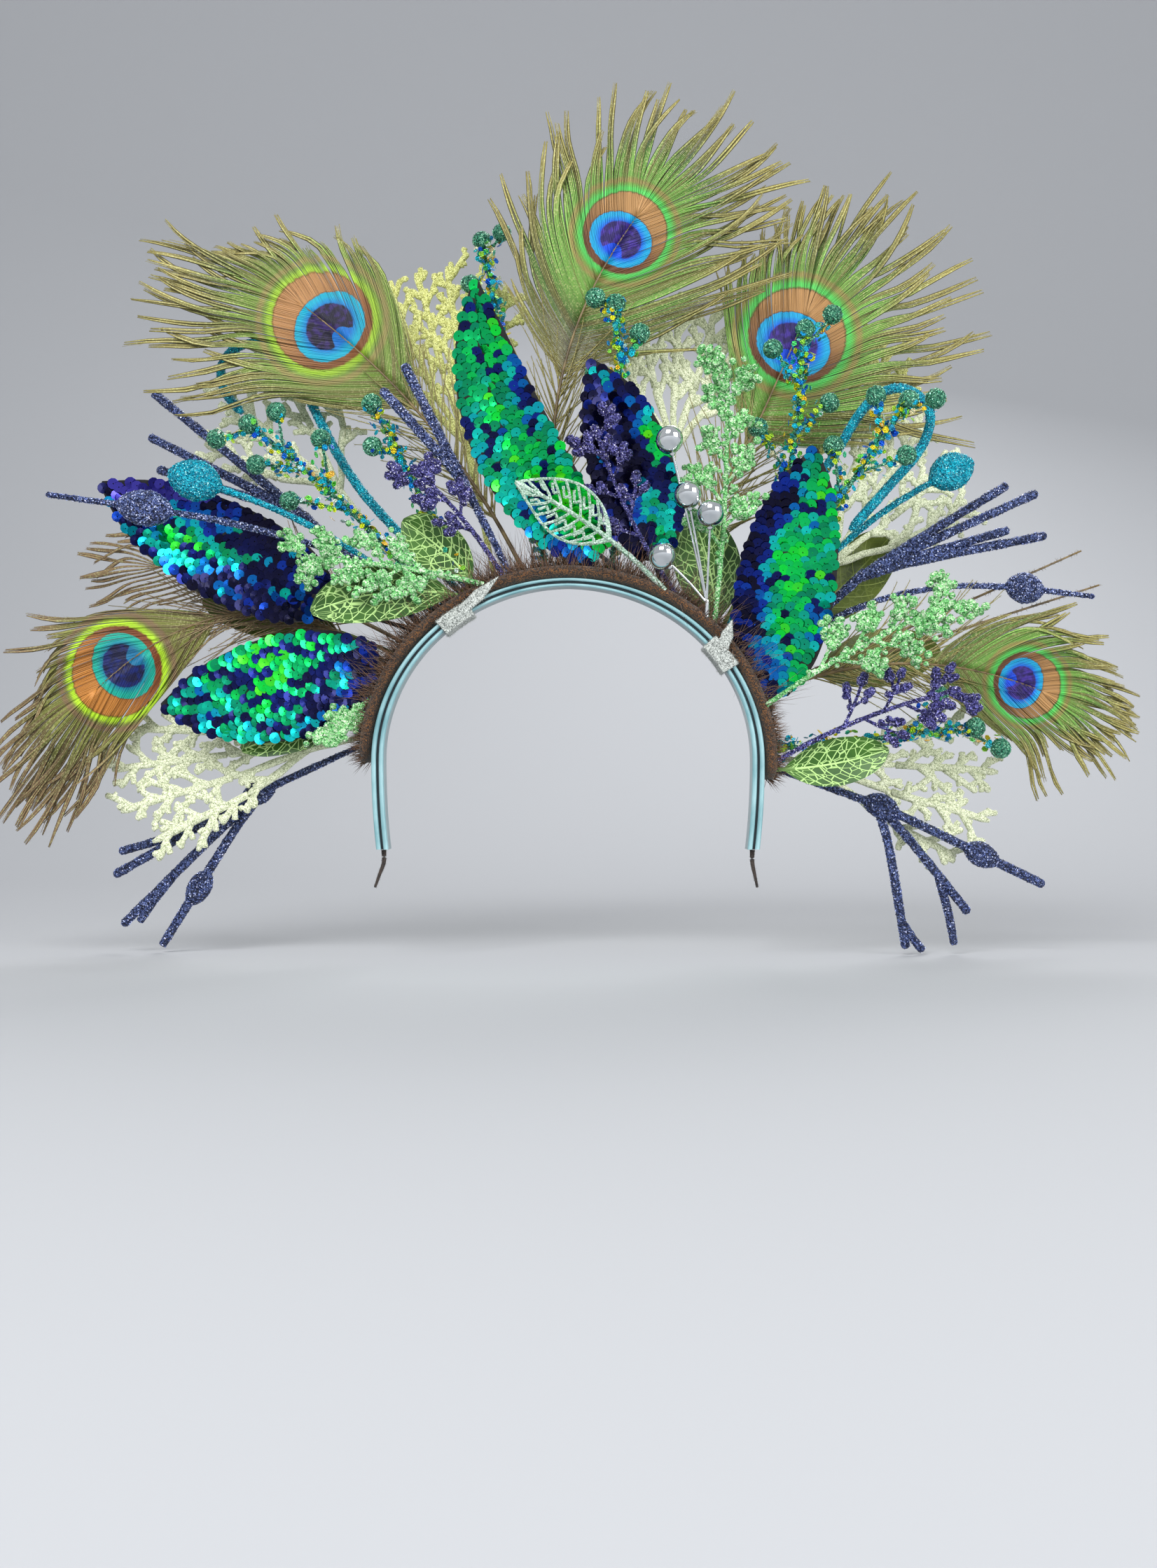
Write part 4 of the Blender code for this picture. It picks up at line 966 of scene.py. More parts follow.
def peacock(name, blue, rim, heart, gleam, brown, tan, ring, green, olive):
    """Rings round the eye, painted over the barbs by their place from its middle."""
    finish = Finish(name, roughness=0.42, metallic=0.15, Sheen_Weight=0.1, Sheen_Roughness=0.4)
    _, across, along = finish.map("eye")
    tint = finish.attribute("tint")
    wobble = finish.math("MULTIPLY", finish.math("SUBTRACT", finish.noise(700.0, 2.0), 0.5), 0.07)

    def ellipse(half_width, half_length, forward):
        wide = finish.math("POWER", finish.math("DIVIDE", across, half_width), 2.0)
        long_part = finish.math("DIVIDE", finish.math("SUBTRACT", along, forward), half_length)
        long_part = finish.math("POWER", long_part, 2.0)
        return finish.math("ADD", finish.math("SQRT", finish.math("ADD", wide, long_part)), wobble)

    dark = tone(0.16, 0.11, 0.05)
    deep = tuple(0.5 * part + 0.5 * other for part, other in zip(green, dark))
    outer = ellipse(0.54, 0.55, 0.07)
    vane = finish.ramp(finish.math("DIVIDE", outer, 4.0), (0.0, brown), (0.250, brown), (0.262, ring),
                       (0.278, ring), (0.30, green), (0.318, olive), (0.332, olive), (0.35, green),
                       (0.44, green), (0.60, deep), (0.90, olive))
    # Single barbs turn their brown side up, and the strands darken towards their ends
    turned = finish.math("MULTIPLY", finish.mask(tint, 0.42, 0.72), finish.mask(outer, 1.15, 1.6))
    vane = finish.mix(finish.math("MULTIPLY", turned, 0.8), vane, finish.mix(0.3, olive, dark))
    ends = finish.mask(finish.attribute("reach"), 0.45, 0.98)
    vane = finish.mix(finish.math("MULTIPLY", ends, finish.mask(outer, 1.3, 2.0)), vane, olive)
    # Pale flecks, where barbules catch the light
    fleck = finish.math("MULTIPLY", finish.mask(finish.noise(1300.0, 1.0), 0.53, 0.64),
                        finish.mask(outer, 1.2, 1.8))
    vane = finish.mix(finish.math("MULTIPLY", fleck, 0.5), vane, tone(0.82, 0.82, 0.58))
    copper = finish.mix(finish.mask(along, -0.35, 0.45), brown, tan)
    rings = finish.mix(finish.mask(outer, 1.01, 0.98), vane, copper)
    disc = ellipse(0.43, 0.37, -0.04)
    blues = finish.ramp(disc, (0.0, blue), (0.62, blue), (0.86, rim), (0.97, rim), (1.0, brown))
    rings = finish.mix(finish.mask(disc, 1.03, 0.99), rings, blues)
    notch = finish.math("MULTIPLY", finish.mask(finish.math("ABSOLUTE", across), 0.16, 0.02),
                        finish.mask(along, 0.02, -0.2))
    core = finish.math("ADD", ellipse(0.29, 0.255, -0.04), finish.math("MULTIPLY", notch, 0.9))
    violet = finish.math("MULTIPLY", finish.mask(finish.noise(330.0), 0.44, 0.62), 0.5)
    rings = finish.mix(finish.mask(core, 1.0, 0.92), rings, finish.mix(violet, heart, gleam))
    # Painted shade: each barb darkens towards both its edges, more strongly away from the eye, as if the
    # rounded barb lay in shade at its sides. The streak adds a random darker tone to single barbs
    edge = finish.mask(finish.math("ABSOLUTE", finish.attribute("side")), 0.3, 1.0)
    inside = finish.mask(outer, 0.9, 1.3)
    painted_edge_shade = finish.math("MULTIPLY", edge, finish.math("MULTIPLY_ADD", inside, 0.48, 0.46))
    streak = finish.math("MULTIPLY", tint, finish.math("MULTIPLY_ADD", inside, 0.22, 0.22))
    shade = finish.mix(finish.math("ADD", painted_edge_shade, streak, clamp=True), (1, 1, 1, 1), (0.2, 0.18, 0.12, 1))
    finish.colour(finish.mix(1.0, rings, shade, "MULTIPLY"))
    return finish.material


EYE_BRIGHT = peacock("peacock barbs", tone(0.0, 0.30, 0.88), tone(0.0, 0.66, 0.86),
                     tone(0.13, 0.05, 0.38),
                     tone(0.34, 0.22, 0.74), tone(0.42, 0.25, 0.12), tone(0.70, 0.53, 0.32),
                     tone(0.34, 0.80, 0.36), tone(0.47, 0.67, 0.28), tone(0.62, 0.58, 0.32))
EYE_LIME = peacock("lime peacock barbs", tone(0.0, 0.46, 0.80), tone(0.0, 0.68, 0.80),
                   tone(0.06, 0.03, 0.16),
                   tone(0.30, 0.20, 0.56), tone(0.52, 0.32, 0.15), tone(0.72, 0.53, 0.33),
                   tone(0.64, 0.80, 0.20), tone(0.51, 0.63, 0.26), tone(0.64, 0.60, 0.35))
EYE_WARM = peacock("bronze peacock barbs", tone(0.0, 0.46, 0.64), tone(0.05, 0.72, 0.64),
                   tone(0.03, 0.05, 0.26), tone(0.04, 0.18, 0.58), tone(0.52, 0.27, 0.10),
                   tone(0.78, 0.52, 0.22), tone(0.76, 0.94, 0.18), tone(0.56, 0.58, 0.28),
                   tone(0.60, 0.50, 0.36))

quill_paint = Finish("quill", roughness=0.45)
quill_paint.colour(quill_paint.ramp(quill_paint.noise(220.0), (0.3, tone(0.26, 0.20, 0.10)),
                                    (0.7, tone(0.52, 0.44, 0.28))))
QUILL = quill_paint.material

# %% Laying the barbs
# Row, station, heading, length and bow of the seat, then the eye, the vane below it, the barbs'
# length on each side, their splay on each side and at the tip, and how far they cup
FEATHERS = {
    "feather_top": (6, 0, 9, 144, -0.11, 32, 62, 88, 106, 40, 54, 25, -0.4),
    "feather_upper_left": (6, -12, -38, 136, 0.055, 38, 50, 108, 74, 44, 36, 12, 0.3),
    "feather_upper_right": (7, 33, 24, 124, 0.0, 38, 48, 88, 108, 36, 64, 15, -0.3),
    "feather_left": (5, -60, -90, 112, 0.2, 34, 40, 104, 80, 38, 18, 10, 0.4),
    "feather_right": (5, 70, 87, 109, -0.1, 25, 38, 63, 63, 44, 44, 14, -0.4),
    "feather_low_left": (8, -52, -71, 108, 0.05, 24, 30, 54, 54, 34, 34, 10, 0.3),
}
EYES = {"feather_left": EYE_WARM, "feather_low_left": EYE_WARM, "feather_upper_left": EYE_LIME}
# The low feather reaches past the fan with a few wisps, and its eye doesn't show
WISPY_FEATHER = "feather_low_left"
BARBS_A_SIDE = 112
BARBS_PAST_QUILL = 28
BARBS_A_LOCK = 4
BARB_RINGS = 12
BARB_THICKNESS = 0.16
HAIRS_A_BARB = 30
HERLS_A_SIDE = 38


def gathered(own, far, seat, eye, side, rng):
    """Draw neighbouring barbs together into locks outside the eye, and let the locks curl and sag."""
    count = len(own)
    lock = (np.arange(count) + 1) // BARBS_A_LOCK
    locks = lock.max() + 1
    t = np.linspace(0, 1, BARB_RINGS + 1)[None, :]
    middle = np.array([own[lock == index].mean(axis=0) for index in range(locks)])[lock]
    course = unit(np.gradient(own, axis=1))
    aside = np.stack([-course[..., 1], course[..., 0], np.zeros(course.shape[:2])], axis=-1)
    place_in_lock = ((np.arange(count) + 1) % BARBS_A_LOCK) / (BARBS_A_LOCK - 1) - 0.5
    lock_width = 1.9 - 1.1 * t
    shared = middle - aside * (side * place_in_lock[:, None] * lock_width)[..., None]
    near = np.linalg.norm(eye_place(seat, own, eye), axis=-1)
    gather = 0.94 * smooth_step(t, 0.1, 0.62) * smooth_step(near, 0.8, 1.75)
    routes = own * (1 - gather[..., None]) + shared * gather[..., None]
    # Gravity bends a lock only by its part across the lock, here in the flat frame
    sag = (aside * np.array([-seat.cosine, seat.sine, 0.0])).sum(axis=-1)
    curl = rng.uniform(-0.13, 0.14, locks)[lock][:, None]
    droop = rng.uniform(0.04, 0.25, locks)[lock][:, None]
    sway = rng.uniform(-0.03, 0.03, locks)[lock][:, None]
    bend = (curl * t ** 3 + sag * droop * t ** 2.2 + sway * np.sin(5.5 * t) * t) * far[:, None]
    return routes + aside * (bend * smooth_step(near, 0.7, 1.4))[..., None]


def barb_routes(seat, shape, side, rng):
    """Flat routes of the barbs on one side of the quill."""
    eye, vane_base, left, right, splay_left, splay_right, splay_tip, cup = shape
    quill_end = 1 + 0.3 * eye / seat.length
    vane_start = 1 - vane_base / seat.length
    share = np.concatenate([np.linspace(0, 1, BARBS_A_SIDE), np.ones(BARBS_PAST_QUILL)])
    past = np.concatenate([np.zeros(BARBS_A_SIDE), np.linspace(0, 1, BARBS_PAST_QUILL)])
    at = vane_start + (quill_end - vane_start) * share
    base = splay_right if side > 0 else splay_left
    splay = np.radians((base + (splay_tip - base) * share) * (1 - 1.08 * past))
    angle = seat.stem_angle(at) + side * splay
    reach = right if side > 0 else left
    far = reach * (0.85 + 0.25 * share - 0.42 * share * share) * (1 + 0.05 * past)
    far = far * (0.6 + 0.4 * smooth_step(share, 0.0, 0.12))
    lock = (np.arange(len(share)) + 1) // BARBS_A_LOCK
    far = far * rng.uniform(0.76, 1.05, lock.max() + 1)[lock] * rng.uniform(0.94, 1.0, len(share))
    t = np.linspace(0, 1, BARB_RINGS + 1)
    bulge = (0.055 * side * (1 - past))[:, None, None]
    forward = towards(angle, 1.0)[:, None]
    aside = towards(angle + math.pi / 2, 1.0)[:, None]
    run = t[None, :, None]
    arc = forward * run + aside * bulge * 4 * run * (1 - run)
    own = seat.stem(at)[:, None] + far[:, None, None] * arc
    routes = gathered(own, far, seat, eye, side, rng)
    room = seat.room(routes[..., 0], routes[..., 1]) - 0.35
    wave = rng.uniform(-0.4, 0.4, lock.max() + 1)[lock][:, None] * t
    jitter = rng.uniform(-0.18, 0.18, len(share))[:, None]
    depth = room * np.clip(cup * t + wave, -0.85, 0.85) + jitter
    routes[..., 2] = np.clip(depth, -room, room)
    return routes, np.broadcast_to(t, routes.shape[:2])


def herl_routes(seat, shape, side, rng):
    """Loose single barbs low on the quill, below the closed vane."""
    vane_start = 1 - shape[1] / seat.length
    at = np.linspace(vane_start * 0.3, vane_start, HERLS_A_SIDE) + rng.normal(0, 0.008, HERLS_A_SIDE)
    angle = seat.stem_angle(at) + side * np.radians(rng.uniform(14, 44, HERLS_A_SIDE))
    far = rng.uniform(22, 50, HERLS_A_SIDE)[:, None, None]
    run = np.linspace(0, 1, BARB_RINGS + 1)[None, :, None]
    bow = rng.uniform(-0.16, 0.16, HERLS_A_SIDE)[:, None, None]
    forward = towards(angle, 1.0)[:, None]
    aside = towards(angle + math.pi / 2, 1.0)[:, None]
    routes = seat.stem(at)[:, None] + far * (forward * run + aside * bow * run ** 2)
    room = seat.room(routes[..., 0], routes[..., 1]) - 0.35
    routes[..., 2] = room * rng.uniform(-0.8, 0.8, HERLS_A_SIDE)[:, None] * run[..., 0]
    return routes


def eye_place(seat, flat, eye):
    """Where flat points lie from the middle of the eye, in eyes: across it, and towards its tip."""
    angle = float(seat.stem_angle(1.0))
    u = flat[..., 0] - seat.length
    v = flat[..., 1]
    along = u * math.cos(angle) + v * math.sin(angle)
    across = v * math.cos(angle) - u * math.sin(angle)
    return np.stack([across, along], axis=-1) / eye


def barb_widths(routes, seat, eye, t):
    """Barbs touch round the eye, and are narrower than their spacing further out."""
    beside = np.concatenate([routes[1:2], routes[2:], routes[-1:]]) - np.concatenate(
        [routes[:1], routes[:-2], routes[-2:-1]])
    course = unit(np.gradient(routes, axis=1))
    spacing = np.abs(beside[..., 0] * course[..., 1] - beside[..., 1] * course[..., 0]) / 2
    near = np.linalg.norm(eye_place(seat, routes, eye), axis=-1)
    fill = 1.3 - 0.45 * smooth_step(near, 0.95, 1.5)
    half = np.clip(spacing / 2 * fill, 0.2, 0.66)
    return half * (1 - 0.7 * smooth_step(t, 0.86, 1.0))


def barb_hairs(routes, seat, eye, rng):
    """Fine barbules that stand off both edges of the barbs where they part."""
    count = len(routes) * HAIRS_A_BARB
    which = np.repeat(np.arange(len(routes)), HAIRS_A_BARB)
    at = rng.uniform(0.15, 0.99, count) * BARB_RINGS
    low = np.minimum(at.astype(int), BARB_RINGS - 1)
    part = (at - low)[:, None]
    points = routes[which, low] * (1 - part) + routes[which, low + 1] * part
    course = unit(routes[which, low + 1] - routes[which, low])
    side = np.where(rng.random(count) < 0.5, -1.0, 1.0)[:, None]
    aside = np.stack([-course[:, 1], course[:, 0], np.zeros(count)], axis=1) * side
    lean = unit(course * 1.0 + aside * rng.uniform(0.35, 0.8, (count, 1)))
    outside = np.linalg.norm(eye_place(seat, points, eye), axis=-1) > 0.85
    points, lean, aside, at, side = (part[outside] for part in (points, lean, aside, at, side))
    length = rng.uniform(1.0, 2.2, len(points))
    thin = 0.07 / length[:, None]
    flat = copies_at(HAIR, points, length, aside * thin, np.array([[0, 0, 1.0]]) * side * thin, lean)
    return flat, at / BARB_RINGS


for name, (row, station, heading, length, bow, *shape) in FEATHERS.items():
    seat = Seat(row, station, heading, length, bow)
    rng = seed_of(name)
    eye = shape[0]
    heap = Heap()
    run_share = np.linspace(0, 1, BARB_RINGS + 1)[None]
    eye_shift = np.array([0.0, 6.0 if name == WISPY_FEATHER else 0.0])
    for side in (-1, 1):
        routes, t = barb_routes(seat, shape, side, rng)
        half = barb_widths(routes, seat, eye, t)
        if name == WISPY_FEATHER:
            wisp = (np.arange(len(routes)) + 1) // BARBS_A_LOCK % 3 == 0
            routes, t, half = routes[wisp], t[wisp], half[wisp]
        flat = sweep_along(BARB, routes, half, BARB_THICKNESS)
        ring = np.rint(BARB.points[:, 2] * BARB_RINGS).astype(int)
        lock = (np.arange(len(flat)) + 1) // BARBS_A_LOCK
        tint = 0.55 * rng.random(lock.max() + 1)[lock] + 0.45 * rng.random(len(flat))
        heap.add(BARB, seat.lay(flat), eye=eye_place(seat, flat, eye) + eye_shift, reach=t[:, ring],
                 side=np.broadcast_to(BARB.points[:, 0], flat.shape[:2]), tint=tint)
        hairs, share = barb_hairs(routes, seat, eye, rng)
        heap.add(HAIR, seat.lay(hairs), eye=eye_place(seat, hairs, eye) + eye_shift, reach=share,
                 side=np.full(len(hairs), 0.3), tint=rng.random(len(hairs)) * 0.5)
        herls = herl_routes(seat, shape, side, rng)
        flat = sweep_along(BARB, herls, 0.34 - 0.2 * run_share, 0.16)
        heap.add(BARB, seat.lay(flat), eye=eye_place(seat, flat, eye) + eye_shift,
                 reach=np.ones(len(flat)),
                 side=np.broadcast_to(BARB.points[:, 0], flat.shape[:2]),
                 tint=rng.uniform(0.4, 1.0, len(flat)))
        hairs, share = barb_hairs(herls, seat, eye, rng)
        heap.add(HAIR, seat.lay(hairs), eye=eye_place(seat, hairs, eye) + eye_shift,
                 reach=np.ones(len(hairs)),
                 side=np.full(len(hairs), 0.3), tint=rng.random(len(hairs)))
    wear(heap.build(name + "_barbs"), EYES.get(name, EYE_BRIGHT), "feather", name)
    quill_heap = Heap()
    quill_end = 1 + 0.3 * eye / length
    line = seat.stem(np.linspace(0.0, quill_end, 21))
    line[:, 2] += 0.1
    radii = np.linspace(0.95, 0.28, 21)[None]
    quill_heap.add(ROD_16, seat.lay(sweep_along(ROD_16, line[None], radii)))
    wear(quill_heap.build(name + "_quill"), QUILL, "quill")

# %% The two stripped quills
QUILL_HEADINGS = ((-3, 158), (3, 160))
PICK_STEM = 7.0
bare = Seat(8, 69, 69, 160, 0.0)
bare_heap = Heap()
fork = np.array([PICK_STEM, 0, 0])
ends = np.array([towards(math.radians(angle), far) for angle, far in QUILL_HEADINGS])
bare_routes = straight_routes(np.array([fork * 0.4, fork * 0.4]), ends, np.linspace(0, 1, 21))
bare_heap.add(ROD_16, bare.lay(sweep_along(ROD_16, bare_routes, np.linspace(0.8, 0.4, 21)[None])))
collar = np.stack([fork * share for share in np.linspace(0, 1.2, 6)])[None]
bare_heap.add(ROD_6, bare.lay(sweep_along(ROD_6, collar, 1.05)))
bare_rng = seed_of("bare quills")
add_hairs(bare_heap, QUILL_TUFTS, 0.5, (0.6, 1.6), 0.08, bare_rng)
wear(bare_heap.build("bare_quill_pair_strands"), QUILL, "quill", "bare_quill_pair")

# %% [markdown]
# ## Sequined leaves
#
# These are leaves of black cloth with overlapping rows of sequins, sewn from the base to the tip.
# The colour change comes from each sequin's tilt and from patches where the cloth folds. A bump map
# of discs would look flat from the side, so every sequin is a dished disc with its sewing hole.

# %% A blade and its surface
PLAIN_OUTLINE = ((0.0, 0.12), (0.16, 0.64), (0.36, 0.95), (0.58, 1.0), (0.8, 0.79), (0.93, 0.46),
                 (1.0, 0.08))
SEQUIN_OUTLINE = ((0.0, 0.34), (0.14, 0.8), (0.34, 1.0), (0.58, 0.95), (0.82, 0.62), (1.0, 0.05))


class Blade:
    """A leaf's surface, by the share along it and the lane from its left edge, -1, to its right."""

    def __init__(self, seat, outline, stalk, left, right, fold, thickness):
        self.seat = seat
        curve = smooth_route([(along, width, 0) for along, width in outline], 6)
        self.curve = curve[np.argsort(curve[:, 0])]
        self.stalk, self.left, self.right = stalk, left, right
        self.fold, self.thickness = fold, thickness

    def width(self, along):
        return np.interp(along, self.curve[:, 0], self.curve[:, 1])

    def half(self, along, lane):
        return np.maximum(self.width(along) * np.where(lane > 0, self.right, self.left), 1.0)

    def flat(self, along, lane, lift=0.0):
        along, lane = np.broadcast_arrays(np.asarray(along, float), np.asarray(lane, float))
        share = self.stalk + (1 - self.stalk) * along
        point = self.seat.stem(share)
        angle = self.seat.stem_angle(share) + math.pi / 2
        point = point + towards(angle, self.half(along, lane) * lane)
        room = self.seat.room(point[..., 0], point[..., 1]) - self.thickness / 2
        cup = self.fold * room * (1 - 2 * np.abs(lane)) * np.minimum(self.width(along) * 1.2, 1)
        point[..., 2] = cup + lift
        return point

    def slab(self, pattern):
        along, lane, level = pattern.points.T
        return self.flat(along[None], lane[None], (level[None] - 0.5) * self.thickness)

    def axes(self, along, lane):
        """Points, with directions along, across and out to the front, in the headdress's frame."""
        step = 0.01
        here = self.seat.lay(self.flat(along, lane, -self.thickness / 2))
        ahead = self.seat.lay(self.flat(along + step, lane, -self.thickness / 2))
        beside = self.seat.lay(self.flat(along, lane + step, -self.thickness / 2))
        forward = unit(ahead - here)
        out = unit(np.cross(forward, beside - here))
        out = out * np.where(out[..., 1:2] > 0, -1, 1)
        return here, forward, np.cross(forward, out), out


# %% Sequins, and the colours they take
# Colour runs from violet at 0 over black-navy, blue, turquoise and emerald to neon green at 1
sequin_paint = Finish("sequins", roughness=0.24, metallic=0.85, Coat_Weight=0.1)
sequin_tint = sequin_paint.attribute("tint")
sequin_paint.colour(sequin_paint.ramp(
    sequin_tint, (0.0, tone(0.30, 0.27, 0.72)), (0.03, tone(0.26, 0.24, 0.66)),
    (0.06, tone(0.05, 0.04, 0.13)),
    (0.12, tone(0.05, 0.07, 0.28)), (0.24, tone(0.05, 0.19, 0.64)),
    (0.36, tone(0.0, 0.46, 0.78)), (0.48, tone(0.04, 0.82, 0.74)), (0.60, tone(0.0, 0.56, 0.38)),
    (0.72, tone(0.0, 0.76, 0.40)), (0.85, tone(0.04, 0.92, 0.26)), (1.0, tone(0.42, 1.0, 0.12))))
SEQUINS = sequin_paint.material
cloth_paint = Finish("black backing cloth", roughness=0.9, Sheen_Weight=0.2)
cloth_paint.colour(cloth_paint.ramp(cloth_paint.noise(2400.0), (0.3, tone(0.03, 0.03, 0.04)),
                                    (0.7, tone(0.10, 0.10, 0.11))))
cloth_paint.bump(cloth_paint.noise(3000.0), 0.4, 0.0003)
BACKING = cloth_paint.material

# Seat, stalk share, half-widths left and right, and spots of colour (along, lane, colour)
SEQUIN_LEAVES = {
    "sequin_leaf_centre": ((1, 17, -28, 128, -0.13), 0.10, 16, 17,
                           ((0.95, 0, 0.64), (0.8, -0.5, 0.62), (0.8, 0.4, 0.84), (0.6, -0.7, 0.6),
                            (0.62, 0.1, 0.66), (0.62, 0.85, 0.2), (0.42, -0.7, 0.5), (0.42, 0.3, 0.74),
                            (0.42, 0.9, 0.58), (0.25, -0.6, 0.55), (0.22, 0.3, 0.9), (0.1, -0.8, 0.3),
                            (0.05, 0.4, 0.78))),
    "sequin_leaf_dark": ((3, 27, -17, 96, 0.03), 0.14, 17, 17,
                         ((0.95, 0, 0.42), (0.75, -0.5, 0.07), (0.75, 0.5, 0.2), (0.5, 0, 0.07),
                          (0.52, 0.75, 0.74), (0.3, 0.8, 0.5), (0.3, -0.6, 0.07), (0.12, 0.3, 0.6),
                          (0.1, -0.5, 0.1))),
    "sequin_leaf_right": ((2, 78, 9, 110, -0.02), 0.10, 20, 19,
                          ((0.95, 0.1, 0.55), (0.8, -0.6, 0.1), (0.8, 0.4, 0.72), (0.55, -0.8, 0.06),
                           (0.55, -0.1, 0.8), (0.55, 0.8, 0.62), (0.3, -0.8, 0.1), (0.3, 0.2, 0.76),
                           (0.12, 0.1, 0.3), (0.12, 0.8, 0.75), (0.3, 0.85, 0.35))),
    "sequin_leaf_lower_left": ((3, -57, -102, 96, -0.04), 0.07, 20, 22,
                               ((0.95, 0, 0.42), (0.8, -0.5, 0.46), (0.75, 0.4, 0.6), (0.5, 0.6, 0.8),
                                (0.5, -0.1, 0.78), (0.5, -0.8, 0.48), (0.3, 0.7, 0.72), (0.25, 0, 0.6),
                                (0.25, -0.8, 0.35), (0.08, 0, 0.12), (0.12, -0.7, 0.1))),
    "sequin_leaf_upper_left": ((4, -47, -65, 142, -0.04), 0.26, 18, 21,
                               ((0.95, 0, 0.0), (0.85, 0.6, 0.0), (0.8, -0.6, 0.45), (0.62, -0.1, 0.84),
                                (0.66, 0.85, 0.0), (0.6, 0.4, 0.3), (0.6, -0.8, 0.45), (0.4, 0.2, 0.6),
                                (0.38, -0.6, 0.3), (0.5, -0.97, 0.0), (0.35, 0.8, 0.16), (0.2, 0, 0.22),
                                (0.15, -0.85, 0.14), (0.05, 0, 0.14))),
}
SEQUIN_RADIUS = 2.4
SEQUIN_ROW_STEP = 2.8
SEQUIN_SPACING = 3.75
SEQUIN_LEAF_THICKNESS = 1.6


def sequin_places(blade, rng):
    """Rows across the blade, each shifted by half a sequin from the last."""
    blade_length = blade.seat.length * (1 - blade.stalk)
    rows = int(blade_length / SEQUIN_ROW_STEP)
    along, lane = [], []
    for index in range(rows):
        share = (index + 0.5) / rows
        half_left = float(blade.half(share, -1.0))
        half_right = float(blade.half(share, 1.0))
        shift = SEQUIN_SPACING / 2 * (index % 2)
        for aside in np.arange(-half_left + 0.6 + shift, half_right - 0.3, SEQUIN_SPACING):
            lane.append(aside / (half_right if aside > 0 else half_left))
            along.append(share)
    along = np.array(along) + rng.normal(0, 0.15 / rows, len(along))
    return np.clip(along, 0.005, 0.985), np.clip(lane, -0.93, 0.93)


def spot_colour(spots, along, lane, rng):
    """Blend the spots by distance, and let single sequins stray."""
    spots = np.array(spots)
    away = np.hypot((along[:, None] - spots[:, 0]) * 3.2, lane[:, None] - spots[:, 1])
    weight = 1 / (away ** 4 + 0.004)
    blend = (weight * spots[:, 2]).sum(axis=1) / weight.sum(axis=1)
    stray = np.where(rng.random(len(along)) < 0.13, rng.uniform(-0.26, 0.3, len(along)), 0)
    mixed = np.clip(blend + rng.normal(0, 0.09, len(along)) + stray, 0.07, 1)
    return np.where(blend < 0.04, blend, mixed)


DARK_SHARES = {"sequin_leaf_centre": 0.04, "sequin_leaf_dark": 0.3, "sequin_leaf_right": 0.02,
               "sequin_leaf_lower_left": 0.33, "sequin_leaf_upper_left": 0.3}
SEQUIN_LINES = 12


def turned_dark(along, lane, share, rng):
    """Stretches of the lines of sequins, base to tip, that lie turned to their dark side."""
    line = np.floor((lane + 1) * SEQUIN_LINES / 2).astype(int)
    phase = rng.random(SEQUIN_LINES)[line]
    beat = rng.uniform(1.2, 2.6, SEQUIN_LINES)[line]
    return np.sin(2 * math.pi * (along * beat + phase)) > 1 - 2 * share


for name, (place, stalk, left, right, spots) in SEQUIN_LEAVES.items():
    rng = seed_of(name)
    seat = Seat(*place)
    blade = Blade(seat, SEQUIN_OUTLINE, stalk, left, right, 0.8, SEQUIN_LEAF_THICKNESS)
    heap = Heap()
    heap.add(LEAF_SLAB, seat.lay(blade.slab(LEAF_SLAB)))
    stem_line = seat.stem(np.linspace(0, stalk + 0.06, 6))[None]
    heap.add(ROD_6, seat.lay(sweep_along(ROD_6, stem_line, 1.0)))
    wear(heap.build(name + "_cloth", sharp=50), BACKING, "sequin", name)
    along, lane = sequin_places(blade, rng)
    points, forward, across, out = blade.axes(along, lane)
    pitch = np.radians(rng.normal(12, 3.5, len(along)))[:, None]
    roll = np.radians(rng.normal(0, 6.0, len(along)))[:, None]
    tipped_out = unit(out * np.cos(pitch) - forward * np.sin(pitch) + across * np.sin(roll))
    first = unit(np.cross(forward, tipped_out))
    second = np.cross(tipped_out, first)
    sizes = SEQUIN_RADIUS * rng.uniform(0.94, 1.04, len(along))
    sequins = copies_at(SEQUIN, points + tipped_out * 0.55, sizes, first, second, tipped_out)
    sequin_heap = Heap()
    tint = spot_colour(spots, along, lane, rng)
    dark = turned_dark(along, lane, DARK_SHARES[name], rng)
    sequin_heap.add(SEQUIN, sequins, tint=np.where(dark & (tint > 0.06), 0.06 + 0.12 * tint, tint))
    slot_name = "dark_sequin" if name == "sequin_leaf_dark" else "sequin"
    wear(sequin_heap.build(name + "_sequins", sharp=40), SEQUINS, slot_name)

# %% [markdown]
# ## Green leaves
#
# The veined leaves are stamped fabric, thick and slightly domed, with pale veins that branch into
# a net. The main veins stand proud as fine ribs, and the net between them is cells of a Voronoi
# pattern on the leaf's own map, so that it follows the leaf round its bend.

# %% Leaf green, its veins and its net


def leaf_green(name, dark, light, vein, net_weight):
    finish = Finish(name, roughness=0.42, Specular_IOR_Level=0.45)
    vector = finish.map("leaf")[0]
    patches = finish.ramp(finish.noise(90.0), (0.3, dark), (0.7, light))
    cells = finish.tree.nodes.new("ShaderNodeTexVoronoi")
    cells.feature = "DISTANCE_TO_EDGE"
    mapping = finish.tree.nodes.new("ShaderNodeMapping")
    finish.wire(mapping, Vector=vector, Rotation=(0, 0, 0.6), Scale=(0.62, 1.0, 1.0))
    finish.wire(cells, Vector=mapping.outputs["Vector"], Scale=1.75)
    net = finish.mask(cells.outputs["Distance"], 0.06, 0.022)
    net = finish.math("MULTIPLY", net, net_weight)
    ribs = finish.attribute("rib")
    line = finish.math("MAXIMUM", net, ribs, clamp=True)
    finish.colour(finish.mix(line, patches, vein))
    finish.bump(line, 0.6, 0.0003)
    return finish.material


